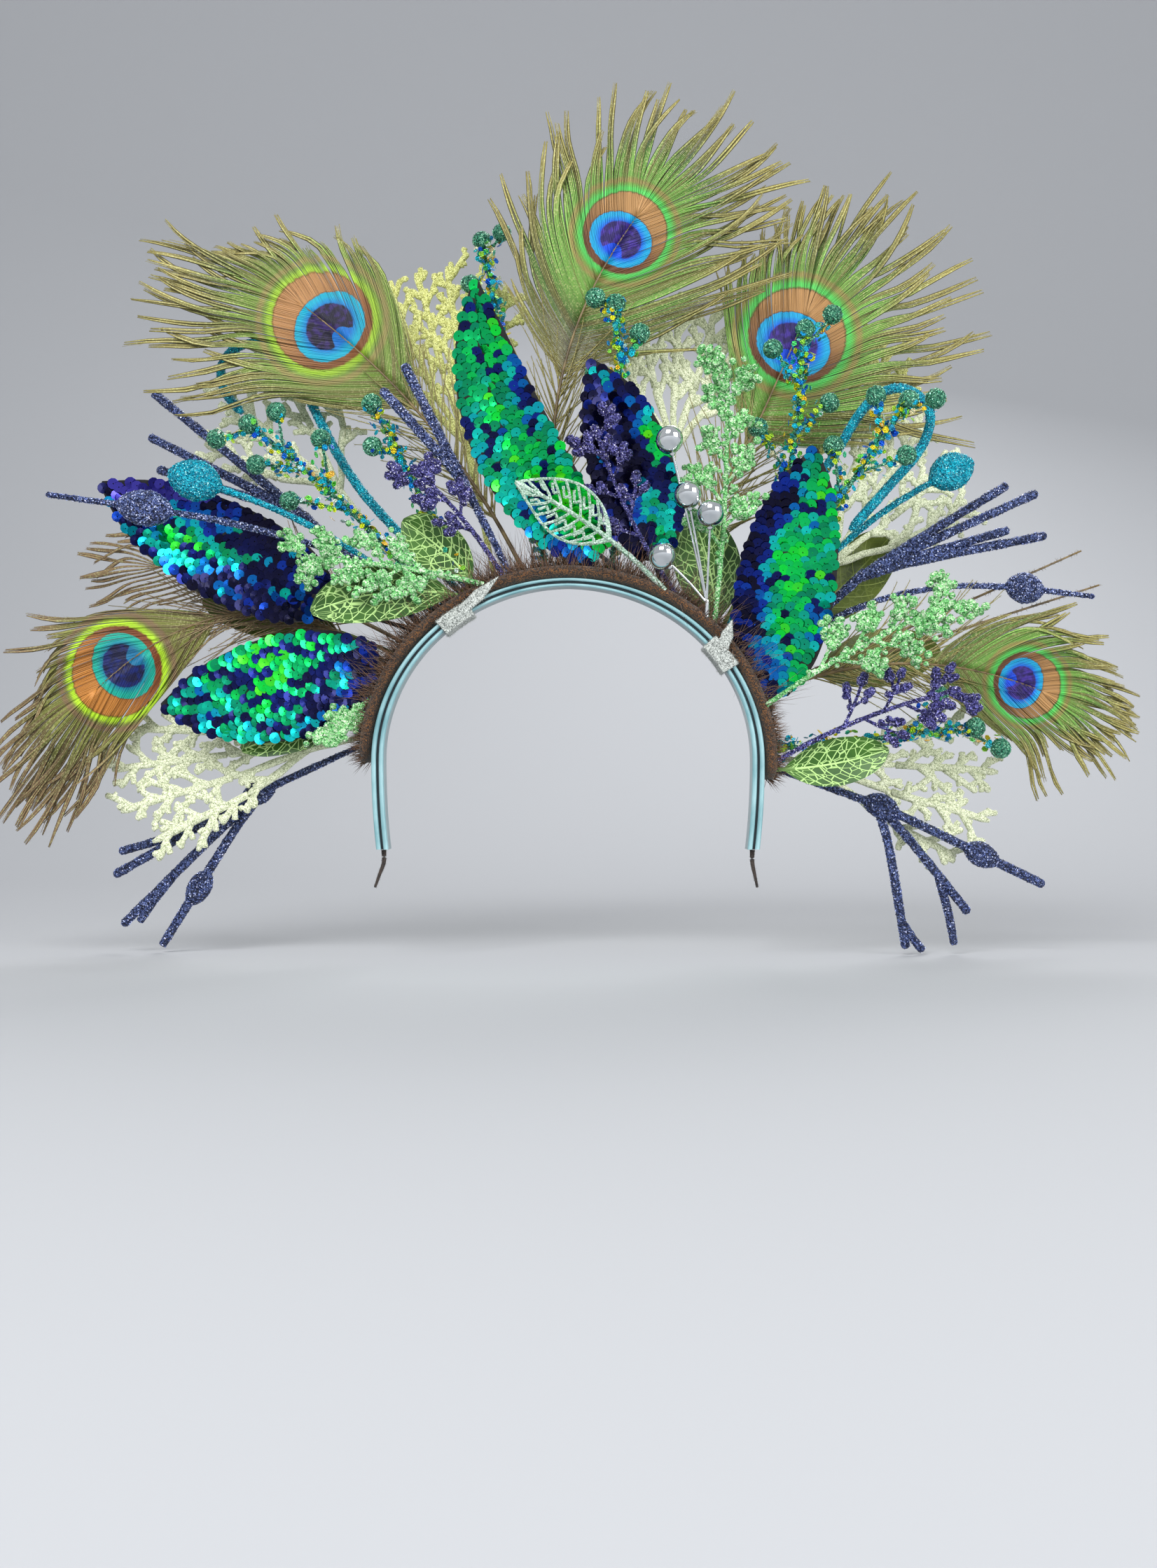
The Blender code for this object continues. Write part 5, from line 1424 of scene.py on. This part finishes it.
VEINED = leaf_green("veined leaf", tone(0.12, 0.28, 0.06), tone(0.24, 0.42, 0.11),
                    tone(0.72, 0.87, 0.54), 0.92)
OLIVE = leaf_green("olive leaf", tone(0.22, 0.28, 0.07), tone(0.40, 0.46, 0.14),
                   tone(0.52, 0.58, 0.25), 0.3)

# Seat, stalk share and half-widths left and right
VEINED_LEAVES = {
    "veined_leaf_left": ((1, -31, -97, 60, 0.08), 0.08, 11, 11),
    "veined_leaf_upper_left": ((3, -26, -48, 41, 0.05), 0.12, 11, 10),
    "veined_leaf_lower_left": ((4, -76, -105, 54, 0.05), 0.10, 9, 10),
    "veined_leaf_centre": ((5, 47, -12, 50, 0.05), 0.12, 14, 13),
    "veined_leaf_right": ((2, 93, 80, 46, 0.04), 0.10, 10, 9),
}
OLIVE_LEAVES = {
    "olive_leaf_left": ((7, -56, -74, 88, 0.04), 0.34, 11, 11),
    "olive_leaf_upper_right": ((9, 58, 50, 90, 0.04), 0.34, 13, 13),
    "olive_leaf_right": ((9, 69, 76, 84, -0.04), 0.34, 12, 12),
}
VEIN_PAIRS = 6
PLAIN_LEAF_THICKNESS = 1.2


def vein_routes(blade):
    """Side veins that leave the midrib in pairs and curve towards the tip."""
    routes = [blade.flat(np.linspace(0.0, 0.97, 9), 0.0, -0.55 * PLAIN_LEAF_THICKNESS)]
    for side in (-1, 1):
        for index in range(VEIN_PAIRS):
            root = 0.06 + 0.78 * index / VEIN_PAIRS + 0.02 * side
            t = np.linspace(0, 1, 9)
            along = root + 0.20 * t * (1 - 0.25 * root) * (0.7 + 0.5 * t)
            routes.append(blade.flat(np.minimum(along, 0.97), side * 0.9 * t,
                                     -0.55 * PLAIN_LEAF_THICKNESS))
    return np.array(routes)


for table, finish, slot_name in ((VEINED_LEAVES, VEINED, "veined"), (OLIVE_LEAVES, OLIVE, "olive")):
    for name, (place, stalk, left, right) in table.items():
        seat = Seat(*place)
        blade = Blade(seat, PLAIN_OUTLINE, stalk, left, right, 0.5, PLAIN_LEAF_THICKNESS)
        heap = Heap()
        slab = blade.slab(LEAF_SLAB)
        leaf_map = np.stack([LEAF_SLAB.points[:, 0] * seat.length / 5,
                             LEAF_SLAB.points[:, 1] * left / 5], axis=1)
        heap.add(LEAF_SLAB, seat.lay(slab), leaf=leaf_map[None])
        veins = vein_routes(blade)
        thin = np.full((len(veins), 9), 0.2)
        thin[0] = np.linspace(0.5, 0.22, 9)
        heap.add(WIRE, seat.lay(sweep_along(WIRE, veins, thin, thin * 0.6)), rib=np.ones(len(veins)))
        stem_line = seat.stem(np.linspace(0, stalk + 0.08, 6))[None]
        heap.add(ROD_6, seat.lay(sweep_along(ROD_6, stem_line, 0.95)), rib=np.full(1, 0.35))
        wear(heap.build(name + "_blade", sharp=50), finish, slot_name, name)

# %% [markdown]
# ## Glitter twigs, buds and curls
#
# The core of each is wire or foam, rolled in glue and then in crushed glitter. The core is a rod
# bent along its route. On it lie cut flakes, each turned its own way, so that single ones flash.

# %% Navy twigs
TWIG_RADIUS = 2.3
# Seat, the fork's heading and share, the twigs (heading, share) and the twig that has a bud
TWIGS = {
    "navy_twig_top_left": ((2, -16, -30, 93, 0), -27, 0.45, ((-5, 0.96), (3, 1.0)), None),
    "navy_twig_right": ((6, 64, 56, 145, 0), 47, 0.44, ((-3, 0.94), (1, 1.0), (4, 0.87), (8, 0.96)),
                        None),
    "navy_twig_lower_right": ((6, 92, 118, 125, 0), 109, 0.38, ((25, 0.75), (8, 0.82), (-5, 1.0)), 2),
    "navy_twig_upper_left": ((7, -45, -52, 157, 0), -47, 0.44, ((3, 1.0), (-3, 0.93), (-7, 0.86)), None),
    "navy_twig_lower_left": ((7, -84, -125, 130, 0), -114, 0.38, ((8, 0.94), (-1, 1.0), (-9, 0.94)), 2),
}
# Twig, share along it, turn and length of the short second twigs
TWIG_FORKS = {
    "navy_twig_lower_right": ((0, 0.72, -26, 16), (1, 0.5, 26, 30)),
    "navy_twig_lower_left": ((0, 0.1, 11, 40), (1, 0.45, -9, 26)),
}
BUD_PROFILE = ((-0.5, 0.16), (-0.34, 0.68), (-0.1, 1.0), (0.16, 0.94), (0.38, 0.6), (0.5, 0.16))


def lumpy(radii, rng, amount=0.08):
    return radii * rng.uniform(1 - amount, 1 + amount, np.shape(radii))


def blunt_route(points, rings, radius):
    """Stations along a smooth route, with the last three close together for a round end."""
    route = resampled(smooth_route(points), 80)
    far = np.linalg.norm(np.diff(route, axis=0), axis=1).sum()
    stops = np.concatenate([np.linspace(0, far - 0.8 * radius, rings - 1), [far - 0.3 * radius, far]])
    even = np.linspace(0, far, 80)
    return np.stack([np.interp(stops, even, route[:, axis]) for axis in range(3)], axis=1)


def add_limb(heap, seat, points, start_radius, end_radius, rng, pattern=ROD_10):
    """A blunt-ended branch through a few points."""
    rings = int(round(1 / np.diff(np.unique(pattern.points[:, 2].round(4))).min()))
    route = blunt_route(points, rings, end_radius)
    radii = lumpy(np.linspace(start_radius, end_radius, rings + 1), rng)
    radii[-2:] *= (0.85, 0.45)
    heap.add(pattern, seat.lay(sweep_along(pattern, route[None], radii[None])))


def add_bud(heap, seat, centre, angle, length, width, rng):
    """A turned bud, pressed in depth where its row is tight."""
    shares = np.linspace(-0.5, 0.5, 21)
    curve = smooth_route([(along, radius, 0) for along, radius in BUD_PROFILE], 6)
    radii = np.interp(shares, curve[:, 0], curve[:, 1]) * width / 2
    radii = lumpy(radii, rng, 0.03)
    route = centre + towards(np.full(21, angle), length * shares)
    room = float(seat.room(centre[0], centre[1]))
    press = min(1.0, room / (width / 2))
    heap.add(ROD_16, seat.lay(sweep_along(ROD_16, route[None], radii[None], radii[None] * press)))


for name, (place, fork_heading, fork_share, tips, bud_tip) in TWIGS.items():
    seat = Seat(*place)
    rng = seed_of(name)
    heap = Heap()
    length = seat.length
    fork = towards(math.radians(fork_heading - seat.heading), length * fork_share)
    tight = min(TWIG_RADIUS, float(seat.room(fork[0] * 0.5, fork[1] * 0.5)))
    add_limb(heap, seat, [fork * 0, fork * 0.5, fork * 1.04], STEM_WIDTH / 2, tight, rng)
    for index, (heading, share) in enumerate(tips):
        tip = towards(math.radians(heading), length * share)
        third = fork + (tip - fork) * 0.3
        elbow = third + (third - tip * 0.62) * 0.06
        add_limb(heap, seat, [fork * 0.97, elbow, tip], TWIG_RADIUS * 0.82, TWIG_RADIUS * 0.8, rng,
                 ROD_16)
        along = math.atan2(tip[1] - elbow[1], tip[0] - elbow[0])
        if index == bud_tip:
            add_bud(heap, seat, fork + (tip - fork) * 0.62, along, 17.0, 10.0, rng)
        for which, part, turn, reach in TWIG_FORKS.get(name, ()):
            if which == index:
                start = elbow + (tip - elbow) * part
                end = start + towards(along + math.radians(turn), float(reach))
                middle = (start + end) / 2 + (tip - start) * 0.08
                add_limb(heap, seat, [start, middle, end], TWIG_RADIUS * 0.76, TWIG_RADIUS * 0.74, rng)
    if name in TWIG_FORKS:
        add_bud(heap, seat, fork * 1.02, math.atan2(fork[1], fork[0]), 16.0, 10.0, rng)
    add_flakes(heap, GRIT, 3000, 0.40, 0.35, rng, lift=0.03)
    wear(heap.build(name + "_glitter", sharp=40), NAVY, "navy", name)

# %% Buds on their stems
# Seat, slot, bud length, bud width and the stick past the bud
BUDS = {
    "navy_bud_left": ((2, -33, -74, 127, 0.04), "navy", 22, 14, 38),
    "navy_bud_right": ((7, 63, 72, 125, -0.11), "navy", 17, 13, 31),
    "turquoise_bud_left": ((3, -40, -61, 110, 0.06), "turquoise", 22, 16, 0),
    "turquoise_bud_right": ((5, 61, 46, 118, -0.08), "turquoise", 20, 15, 0),
}
GLITTERS = {"navy": NAVY, "turquoise": TURQUOISE, "mint": MINT, "purple": PURPLE, "berry": BERRY_GLITTER}

for name, (place, slot_name, bud_length, bud_width, stick) in BUDS.items():
    seat = Seat(*place)
    rng = seed_of(name)
    heap = Heap()
    centre = seat.stem(1.0)
    angle = float(seat.stem_angle(1.0))
    add_limb(heap, seat, seat.stem(np.linspace(0, 1, 6)), STEM_WIDTH / 2, 1.3, rng)
    if stick:
        end = centre + towards(angle, float(stick))
        add_limb(heap, seat, [centre, (centre + end) / 2, end], 1.3, 0.9, rng)
    add_bud(heap, seat, centre, angle, bud_length, bud_width, rng)
    add_flakes(heap, GRIT, 3000, 0.40, 0.3, rng, lift=0.03)
    wear(heap.build(name + "_glitter", sharp=40), GLITTERS[slot_name], slot_name, name)

# %% Turquoise curls
CURL_RADIUS = 1.9
CURLS = {
    "turquoise_curl_right": ((4, 50, 35, 126, 0.0),
                             ((0.19, -0.04), (0.42, -0.045), (0.68, -0.05), (0.86, -0.06), (0.96, -0.03),
                              (1.0, 0.04), (0.97, 0.13), (0.86, 0.165), (0.7, 0.15), (0.52, 0.13))),
    "turquoise_curl_left": ((7, -30, -42, 148, 0.0),
                            ((0.34, -0.02), (0.55, 0.0), (0.83, 0.07), (0.95, 0.065), (1.0, -0.01),
                             (0.99, -0.07), (0.93, -0.115), (0.84, -0.12))),
}
CURL_RINGS = 60
CURL_ROD = rod_pattern(12, CURL_RINGS)

for name, (place, shares) in CURLS.items():
    seat = Seat(*place)
    rng = seed_of(name)
    knots = [(0, 0, 0)] + [(along * seat.length, side * seat.length, 0) for along, side in shares]
    route = resampled(smooth_route(knots), CURL_RINGS + 1)
    radii = np.minimum(np.linspace(1.1, 1.1 + 6 * (CURL_RADIUS - 1.1), CURL_RINGS + 1), CURL_RADIUS)
    radii = lumpy(radii, rng, 0.04)
    radii[-1] *= 0.5
    heap = Heap()
    heap.add(CURL_ROD, seat.lay(sweep_along(CURL_ROD, route[None], radii[None])))
    add_flakes(heap, GRIT, 3000, 0.38, 0.35, rng, lift=0.03)
    wear(heap.build(name + "_glitter", sharp=40), TURQUOISE, "turquoise", name)

# %% [markdown]
# ## Sprigs of mint, purple and confetti berries
#
# A sprig is a stem with side branches, and what makes its kind is what sits at the ends: clustered
# mint knobs, round purple berries, or larger teal berries rolled in hexagon confetti.

# %% The sprigs
# Seat, kind, the first branch's share, the number of branches and their reach
SPRIGS = {
    "mint_sprig_left": ((0, -24, -83, 72, 0.03), "mint", 0.25, 8, 0.27),
    "mint_sprig_right": ((0, 73, 61, 82, -0.03), "mint", 0.3, 8, 0.25),
    "mint_sprig_centre": ((1, 45, 2, 101, 0.02), "mint", 0.3, 9, 0.2),
    "mint_sprig_lower_left": ((1, -70, -131, 26, 0.0), "mint", 0.3, 4, 0.34),
    "purple_sprig_left": ((1, -18, -40, 55, 0.04), "purple", 0.4, 5, 0.28),
    "purple_sprig_centre": ((2, 33, -27, 76, -0.04), "purple", 0.4, 6, 0.24),
    "purple_sprig_right": ((1, 90, 68, 76, -0.04), "purple", 0.4, 6, 0.26),
    "berry_sprig_top_left": ((8, -6, -11, 152, 0.0), "berry", 0.8, 2, 0.11),
    "berry_sprig_top": ((4, 12, 1, 110, 0.03), "berry", 0.62, 3, 0.17),
    "berry_sprig_left": ((5, -38, -46, 112, 0.03), "berry", 0.5, 5, 0.22),
    "berry_sprig_inner_left": ((4, -28, -28, 87, 0.0), "berry", 0.7, 1, 0.2),
    "berry_sprig_right": ((5, 56, 12, 138, 0.04), "berry", 0.55, 4, 0.17),
    "berry_sprig_outer_right": ((3, 54, 35, 121, 0.0), "berry", 0.6, 4, 0.19),
    "berry_sprig_lower_right": ((4, 86, 84, 83, 0.0), "berry", 0.66, 2, 0.26),
}
# Stem radius, branch angle and berry radius of each kind
HABITS = {"mint": (0.9, 38, 2.0), "purple": (0.8, 42, 2.7), "berry": (0.7, 40, 4.0)}


def add_knobs(heap, seat, centres, sizes, pattern=KNOB):
    flat = copies_at(pattern, np.array(centres), np.array(sizes), *STRAIGHT)
    heap.add(pattern, seat.lay(flat))


def knob_cluster(tip, back, seat, rng):
    """A mint branch's end: knobs packed round its last few millimetres."""
    centres, sizes = [], []
    for index in range(KNOBS_AN_END):
        share = index / (KNOBS_AN_END - 1)
        spot = tip + back * (share * 8.0) + rng.normal(0, 1.45 - 0.6 * share, 3)
        room = float(seat.room(spot[0], spot[1]))
        size = min(rng.uniform(1.0, 1.75), room)
        spot[2] = np.clip(spot[2], size - room, room - size)
        centres.append(spot)
        sizes.append(size)
    return centres, sizes


def forked(root, tip, rng):
    """Two short twigs off a branch, and its own end."""
    along = tip - root
    far = np.linalg.norm(along)
    heading = math.atan2(along[1], along[0])
    ends = [(root, tip)]
    for side in (-1, 1):
        start = root + along * rng.uniform(0.3, 0.55)
        turn = heading + side * math.radians(rng.uniform(26, 42))
        ends.append((start, start + towards(turn, far * rng.uniform(0.36, 0.5))))
    return ends


for name, (place, kind, first_share, count, reach) in SPRIGS.items():
    seat = Seat(*place)
    rng = seed_of(name)
    spread = random.Random(name)
    stem_radius, branch_angle, berry_radius = HABITS[kind]
    heap = Heap()
    add_limb(heap, seat, seat.stem(np.linspace(0, 1, 5)), STEM_WIDTH / 2, stem_radius * 0.8, rng)
    ends = [(seat.stem(0.75), seat.stem(1.0))]
    for index in range(count):
        share = first_share + (0.95 - first_share) * index / max(count - 1, 1)
        side = 1 if index % 2 else -1
        angle = float(seat.stem_angle(share)) + side * math.radians(branch_angle)
        angle += math.radians(spread.uniform(-7, 7))
        far = seat.length * reach * (1.25 - 0.55 * share) * spread.uniform(0.85, 1.1)
        root = seat.stem(share)
        ends.append((root, root + towards(angle, far)))
    if kind != "berry":
        ends = [twig for root, tip in ends for twig in forked(root, tip, rng)]
    for root, tip in ends:
        back = unit(root - tip)
        bend = (root + tip) / 2 + np.array([back[1], -back[0], 0]) * 0.6
        add_limb(heap, seat, [root, bend, tip], stem_radius * 0.85, stem_radius * 0.7, rng, ROD_6)
    stems = Heap()
    stems.blocks = list(heap.blocks)
    knobs, knob_sizes = [], []
    for root, tip in ends:
        back = unit(root - tip)
        room = float(seat.room(tip[0], tip[1]))
        if kind == "mint":
            more = knob_cluster(tip, back, seat, rng)
            knobs += more[0]
            knob_sizes += more[1]
        if kind == "berry":
            add_knobs(heap, seat, [tip], [min(berry_radius, room)], BERRY)
        if kind == "purple":
            size = min(berry_radius * rng.uniform(0.66, 0.9), room)
            add_knobs(heap, seat, [tip, tip + back * size * 0.9], [size * 0.8, size], BERRY)
            spot = root + (tip - root) * 0.45 + towards(rng.uniform(0, 6.28), 1.6)
            add_knobs(heap, seat, [spot], [min(1.5, room)], KNOB)
    if kind == "mint":
        for share in np.linspace(first_share * 0.8, 0.97, 40):
            spot = seat.stem(share) + rng.normal(0, 1.1, 3) * np.array([1, 1, 0.4])
            knobs.append(spot)
            knob_sizes.append(rng.uniform(0.8, 1.4))
        add_knobs(heap, seat, knobs, knob_sizes)
    if kind == "berry":
        add_flakes(heap, GRIT, BERRY_GRAINS, 0.42, 0.4, rng, lift=0.03, tints=(0.0, 0.3))
        count = int(seat.length * 3.8)
        points, normals = scatter_on(stems.surface(), count, rng)
        axes = tipped_axes(normals, 0.6, rng)
        off = np.where(rng.random(count) < 0.6, rng.uniform(0.3, 1.4, count),
                       rng.uniform(1.4, 4.0, count))
        loose = copies_at(FLAKE, points + normals * off[:, None], rng.uniform(0.95, 1.5, count), *axes)
        heap.add(FLAKE, loose, tint=rng.uniform(0.32, 1.0, count), flake=np.ones(count))
    else:
        add_flakes(heap, GRIT, SPRIG_GRAINS, 0.36, 0.4, rng, lift=0.03)
    wear(heap.build(name + "_glitter", sharp=40), GLITTERS[kind], kind, name)

# %% [markdown]
# ## Coral fans
#
# These are moulded plastic coral, flocked in cream or a dull yellow. A limb carries twigs to both
# sides and those carry knuckles, all in one plane. A rule that branches three times gives that
# shape. The flock is short spikes over a matt, mottled skin.

# %% The corals
# Seat, finish, the trunk's share, the spread and the number of limbs
CORALS = {
    "coral_upper_left": ((8, -40, -38, 144, 0.0), "cream", 0.52, 36, 4),
    "coral_top_left": ((9, -21, -12, 150, 0.0), "yellow", 0.44, 26, 6),
    "coral_top_right": ((8, 29, 3, 132, 0.0), "cream", 0.52, 32, 5),
    "coral_right": ((8, 58, 43, 137, 0.0), "cream", 0.46, 28, 4),
    "coral_behind_right": ((9, 48, 29, 156, 0.0), "yellow", 0.62, 24, 4),
    "coral_lower_left": ((6, -82, -102, 112, 0.0), "cream", 0.24, 20, 4),
    "coral_lower_right": ((7, 88, 100, 101, 0.0), "cream", 0.24, 26, 4),
}
CORAL_RADIUS = 1.7
CORAL_TWIG_STEP = 5.6


def coral_twigs(starts, ends, rng, step, low, high, turn):
    """Side twigs along straight limbs, to both sides by turns."""
    roots, tips = [], []
    for start, end in zip(starts, ends):
        far = np.linalg.norm(end - start)
        heading = math.atan2(end[1] - start[1], end[0] - start[0])
        for index in range(int(far / step)):
            share = (index + 0.7 + rng.uniform(-0.15, 0.15)) * step / far
            if share > 0.97:
                continue
            side = 1 if index % 2 else -1
            angle = heading + side * math.radians(turn + rng.uniform(-9, 9))
            root = start + (end - start) * share
            roots.append(root)
            tips.append(root + towards(angle, rng.uniform(low, high) * (1.15 - 0.4 * share)))
    return np.array(roots), np.array(tips)


def knuckled(starts, ends, rng, swell):
    """Routes and radii for blunt, knuckled limbs."""
    routes = straight_routes(starts, ends, (0, 0.25, 0.5, 0.76, 0.94, 1))
    routes[:, 1:4, :2] += rng.normal(0, 0.3, routes[:, 1:4, :2].shape)
    radii = CORAL_RADIUS * swell * rng.uniform(0.85, 1.15, routes.shape[:2])
    radii[:, -2:] *= (0.95, 0.5)
    return routes, radii


for name, (place, slot_name, trunk, fan, limbs) in CORALS.items():
    seat = Seat(*place)
    rng = seed_of(name)
    heap = Heap()
    fork = seat.stem(trunk)
    add_limb(heap, seat, [fork * 0, fork * 0.5, fork], STEM_WIDTH / 2, CORAL_RADIUS * 1.1, rng)
    starts, ends = [], []
    for index in range(limbs):
        part = index / (limbs - 1) * 2 - 1
        angle = math.radians(part * fan)
        length = seat.length * (1 - trunk) * (1 - 0.12 * abs(part))
        elbow = fork + towards(angle * 1.3, length * 0.4)
        starts += [fork - towards(0.0, length * 0.02 * (1 + index)), elbow]
        ends += [elbow, elbow + towards(angle * 0.7, length * 0.6)]
    starts, ends = np.array(starts), np.array(ends)
    twig_starts, twig_ends = coral_twigs(starts, ends, rng, CORAL_TWIG_STEP, 9, 19, 36)
    clear = np.linalg.norm(twig_starts - fork, axis=1) > seat.length * (1 - trunk) * 0.22
    twig_starts, twig_ends = twig_starts[clear], twig_ends[clear]
    knuckle_starts, knuckle_ends = coral_twigs(twig_starts, twig_ends, rng, 4.8, 3.0, 6.4, 40)
    for group_starts, group_ends, swell in ((starts, ends, 1.0), (twig_starts, twig_ends, 0.9),
                                            (knuckle_starts, knuckle_ends, 0.82)):
        routes, radii = knuckled(group_starts, group_ends, rng, swell)
        heap.add(ROD_6, seat.lay(sweep_along(ROD_6, routes, radii)))
    add_hairs(heap, CORAL_FIBRES, 0.35, (0.3, 0.5), 0.32, rng, sunk=0.05, flakes=True)
    wear(heap.build(name + "_flock"), CREAM if slot_name == "cream" else YELLOW, slot_name, name)

# %% [markdown]
# ## Skeleton leaf and mirror balls
#
# The small frosted leaf is cut right through between its veins, so it is built of ribs alone. The
# balls are silvered glass on wire. Their look is all reflection, and needs only a true round.

# %% The skeleton leaf
skeleton_seat = Seat(0, 28, -55, 73, 0.05)
SKELETON_STALK = 0.4
SKELETON_HALF = 11.0
SKELETON_VEINS = 9
skeleton_rng = seed_of("skeleton_leaf")


def rim_point(along, side):
    along = np.asarray(along, float)
    share = SKELETON_STALK + (1 - SKELETON_STALK) * along
    width = SKELETON_HALF * np.sin(math.pi * np.clip(along, 0, 1) ** 0.85)
    turn = skeleton_seat.stem_angle(share) + math.pi / 2
    return skeleton_seat.stem(share) + towards(turn, side * width)


skeleton_heap = Heap()
add_limb(skeleton_heap, skeleton_seat, skeleton_seat.stem(np.linspace(0, 1, 6)), STEM_WIDTH / 2, 0.6,
         skeleton_rng)
skeleton_routes = []
for side in (-1, 1):
    rim = rim_point(np.linspace(0, 1, 9), side)
    outline = resampled(smooth_route(rim), 25)
    skeleton_routes += [outline[0:9], outline[8:17], outline[16:25]]
    for index in range(SKELETON_VEINS):
        along = 0.04 + 0.80 * index / (SKELETON_VEINS - 1)
        root = skeleton_seat.stem(SKELETON_STALK + (1 - SKELETON_STALK) * along)
        end = rim_point(min(along + 0.17, 0.97), side)
        middle = (root + end) / 2 - towards(0.0, 0.7)
        vein = resampled(smooth_route([root, middle, end]), 9)
        skeleton_routes.append(vein)
        if index < SKELETON_VEINS - 1:
            next_root = skeleton_seat.stem(SKELETON_STALK + (1 - SKELETON_STALK) * (along + 0.1))
            skeleton_routes.append(resampled([vein[4], (vein[4] + next_root) / 2 + [1.2, side * 0.8, 0],
                                              vein[5] + [3.2, side * 0.6, 0]], 9))
skeleton_routes = np.array(skeleton_routes)
skeleton_heap.add(WIRE, skeleton_seat.lay(sweep_along(WIRE, skeleton_routes, 0.55, 0.5)))
add_flakes(skeleton_heap, GRIT, 2400, 0.24, 0.35, skeleton_rng, lift=0.03)
wear(skeleton_heap.build("skeleton_leaf_ribs", sharp=40), FROST, "mint", "skeleton_leaf")

# %% Mirror balls on their wires
BALLS = ((-13, 70), (-10, 48), (1, 40), (-37, 30))
BALL_RADIUS = 5.4
WIRE_RADIUS = 0.6
silver_seat = Seat(0, 42, 0, 70, 0.0)
mirror = Finish("silvered glass", roughness=0.06, metallic=1.0)
tarnish = mirror.noise(120.0, 3.0)
MIRROR = mirror.colour(mirror.ramp(tarnish, (0.2, tone(0.80, 0.82, 0.84)),
                                   (0.8, tone(0.95, 0.96, 0.96))))
silver_rng = seed_of("silver_pick")
silver_heap = Heap()
pick = np.array([PICK_STEM, 0, 0])
add_limb(silver_heap, silver_seat, [pick * 0, pick * 0.5, pick * 1.05], 1.1, 0.9, silver_rng)
for heading, far in BALLS:
    end = towards(math.radians(heading), float(far))
    room = float(silver_seat.room(end[0], end[1]))
    forward = np.array([0, 0, min(room - BALL_RADIUS, 0)])
    bend = pick + (end - pick) * 0.4 + forward * 0.3
    wire = resampled(smooth_route([pick * 0.8, bend, end + forward]), 21)
    silver_heap.add(ROD_16, silver_seat.lay(sweep_along(ROD_16, wire[None], WIRE_RADIUS * 0.8)))
    add_knobs(silver_heap, silver_seat, [end + forward], [BALL_RADIUS], SPHERE)
    neck = end + forward - towards(math.radians(heading), BALL_RADIUS * 0.96)
    add_knobs(silver_heap, silver_seat, [neck], [1.3], KNOB)
wear(silver_heap.build("silver_pick_balls"), MIRROR, "silver", "silver_pick")

# %% [markdown]
# ## Felt wraps and tails
#
# Strips of grey felt bind the pad to the band, each with a pointed tab. Felt has no thread to
# model, so a remeshed copy of the solid is softened and covered with short fibres. The dark tails
# are the cut ends of the band's binding.

# %% Felt over the two wraps


def felted(node):
    """A softened copy of a wrap, with fibres standing off it."""
    rest()
    item = bpy.data.objects.new(node + "_core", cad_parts[node].data.copy())
    bpy.context.scene.collection.objects.link(item)
    item.select_set(True)
    bpy.context.view_layer.objects.active = item
    bpy.ops.object.mode_set(mode="EDIT")
    bpy.ops.mesh.select_all(action="SELECT")
    bpy.ops.mesh.remove_doubles(threshold=0.00001)
    bpy.ops.object.mode_set(mode="OBJECT")
    voxels = item.modifiers.new("voxels", "REMESH")
    voxels.voxel_size = 0.0004
    bpy.ops.object.modifier_apply(modifier="voxels")
    soft = item.modifiers.new("soft", "SMOOTH")
    soft.iterations = 3
    bpy.ops.object.modifier_apply(modifier="soft")
    core = Pattern(item)
    rng = seed_of(node)
    heap = Heap()
    heap.add(core, core.points[None] / MM)
    add_hairs(heap, FELT_FIBRES, 0.8, (0.5, 1.3), 0.05, rng, flakes=True)
    return heap.build(node + "_felt")


for node in ("felt_wrap_left", "felt_wrap_right"):
    wear(felted(node), FELT, "felt", node)

# %% The dark tails
tail_paint = Finish("dark binding", roughness=0.85, Sheen_Weight=0.3)
tail_paint.colour(tail_paint.ramp(tail_paint.noise(900.0), (0.3, tone(0.10, 0.08, 0.07)),
                                  (0.7, tone(0.26, 0.21, 0.18))))
tail_paint.bump(tail_paint.noise(2000.0), 0.5, 0.0004)
for node in ("tail_left", "tail_right"):
    low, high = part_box(node)
    low, high = np.array(low) / MM, np.array(high) / MM
    rng = seed_of(node)
    heap = Heap()
    top_x, end_x = (high[0] - 1, low[0] + 0.6) if node == "tail_left" else (low[0] + 1, high[0] - 0.6)
    depth = (low[1] + high[1]) / 2
    line = [(top_x, depth, high[2]), (top_x, depth, high[2] - 5),
            ((top_x + end_x) / 2, depth, high[2] - 10),
            (end_x, depth, low[2])]
    route = resampled(smooth_route(line), 21)
    heap.add(ROD_16, sweep_along(ROD_16, route[None], np.linspace(0.55, 0.35, 21)[None],
                                 np.linspace(1.0, 0.5, 21)[None]))
    add_hairs(heap, TAIL_FIBRES, 0.8, (0.4, 0.9), 0.06, rng)
    wear(heap.build(node + "_binding"), tail_paint.material, "tail", node)

# %% [markdown]
# ## The bounds of the solids

# The dressed headdress has to stay within the solids that it stands on, apart from a little fluff.

# %% The bounds of the solids
print("solids", [[round(v, 4) for v in corner] for corner in solid_bounds])
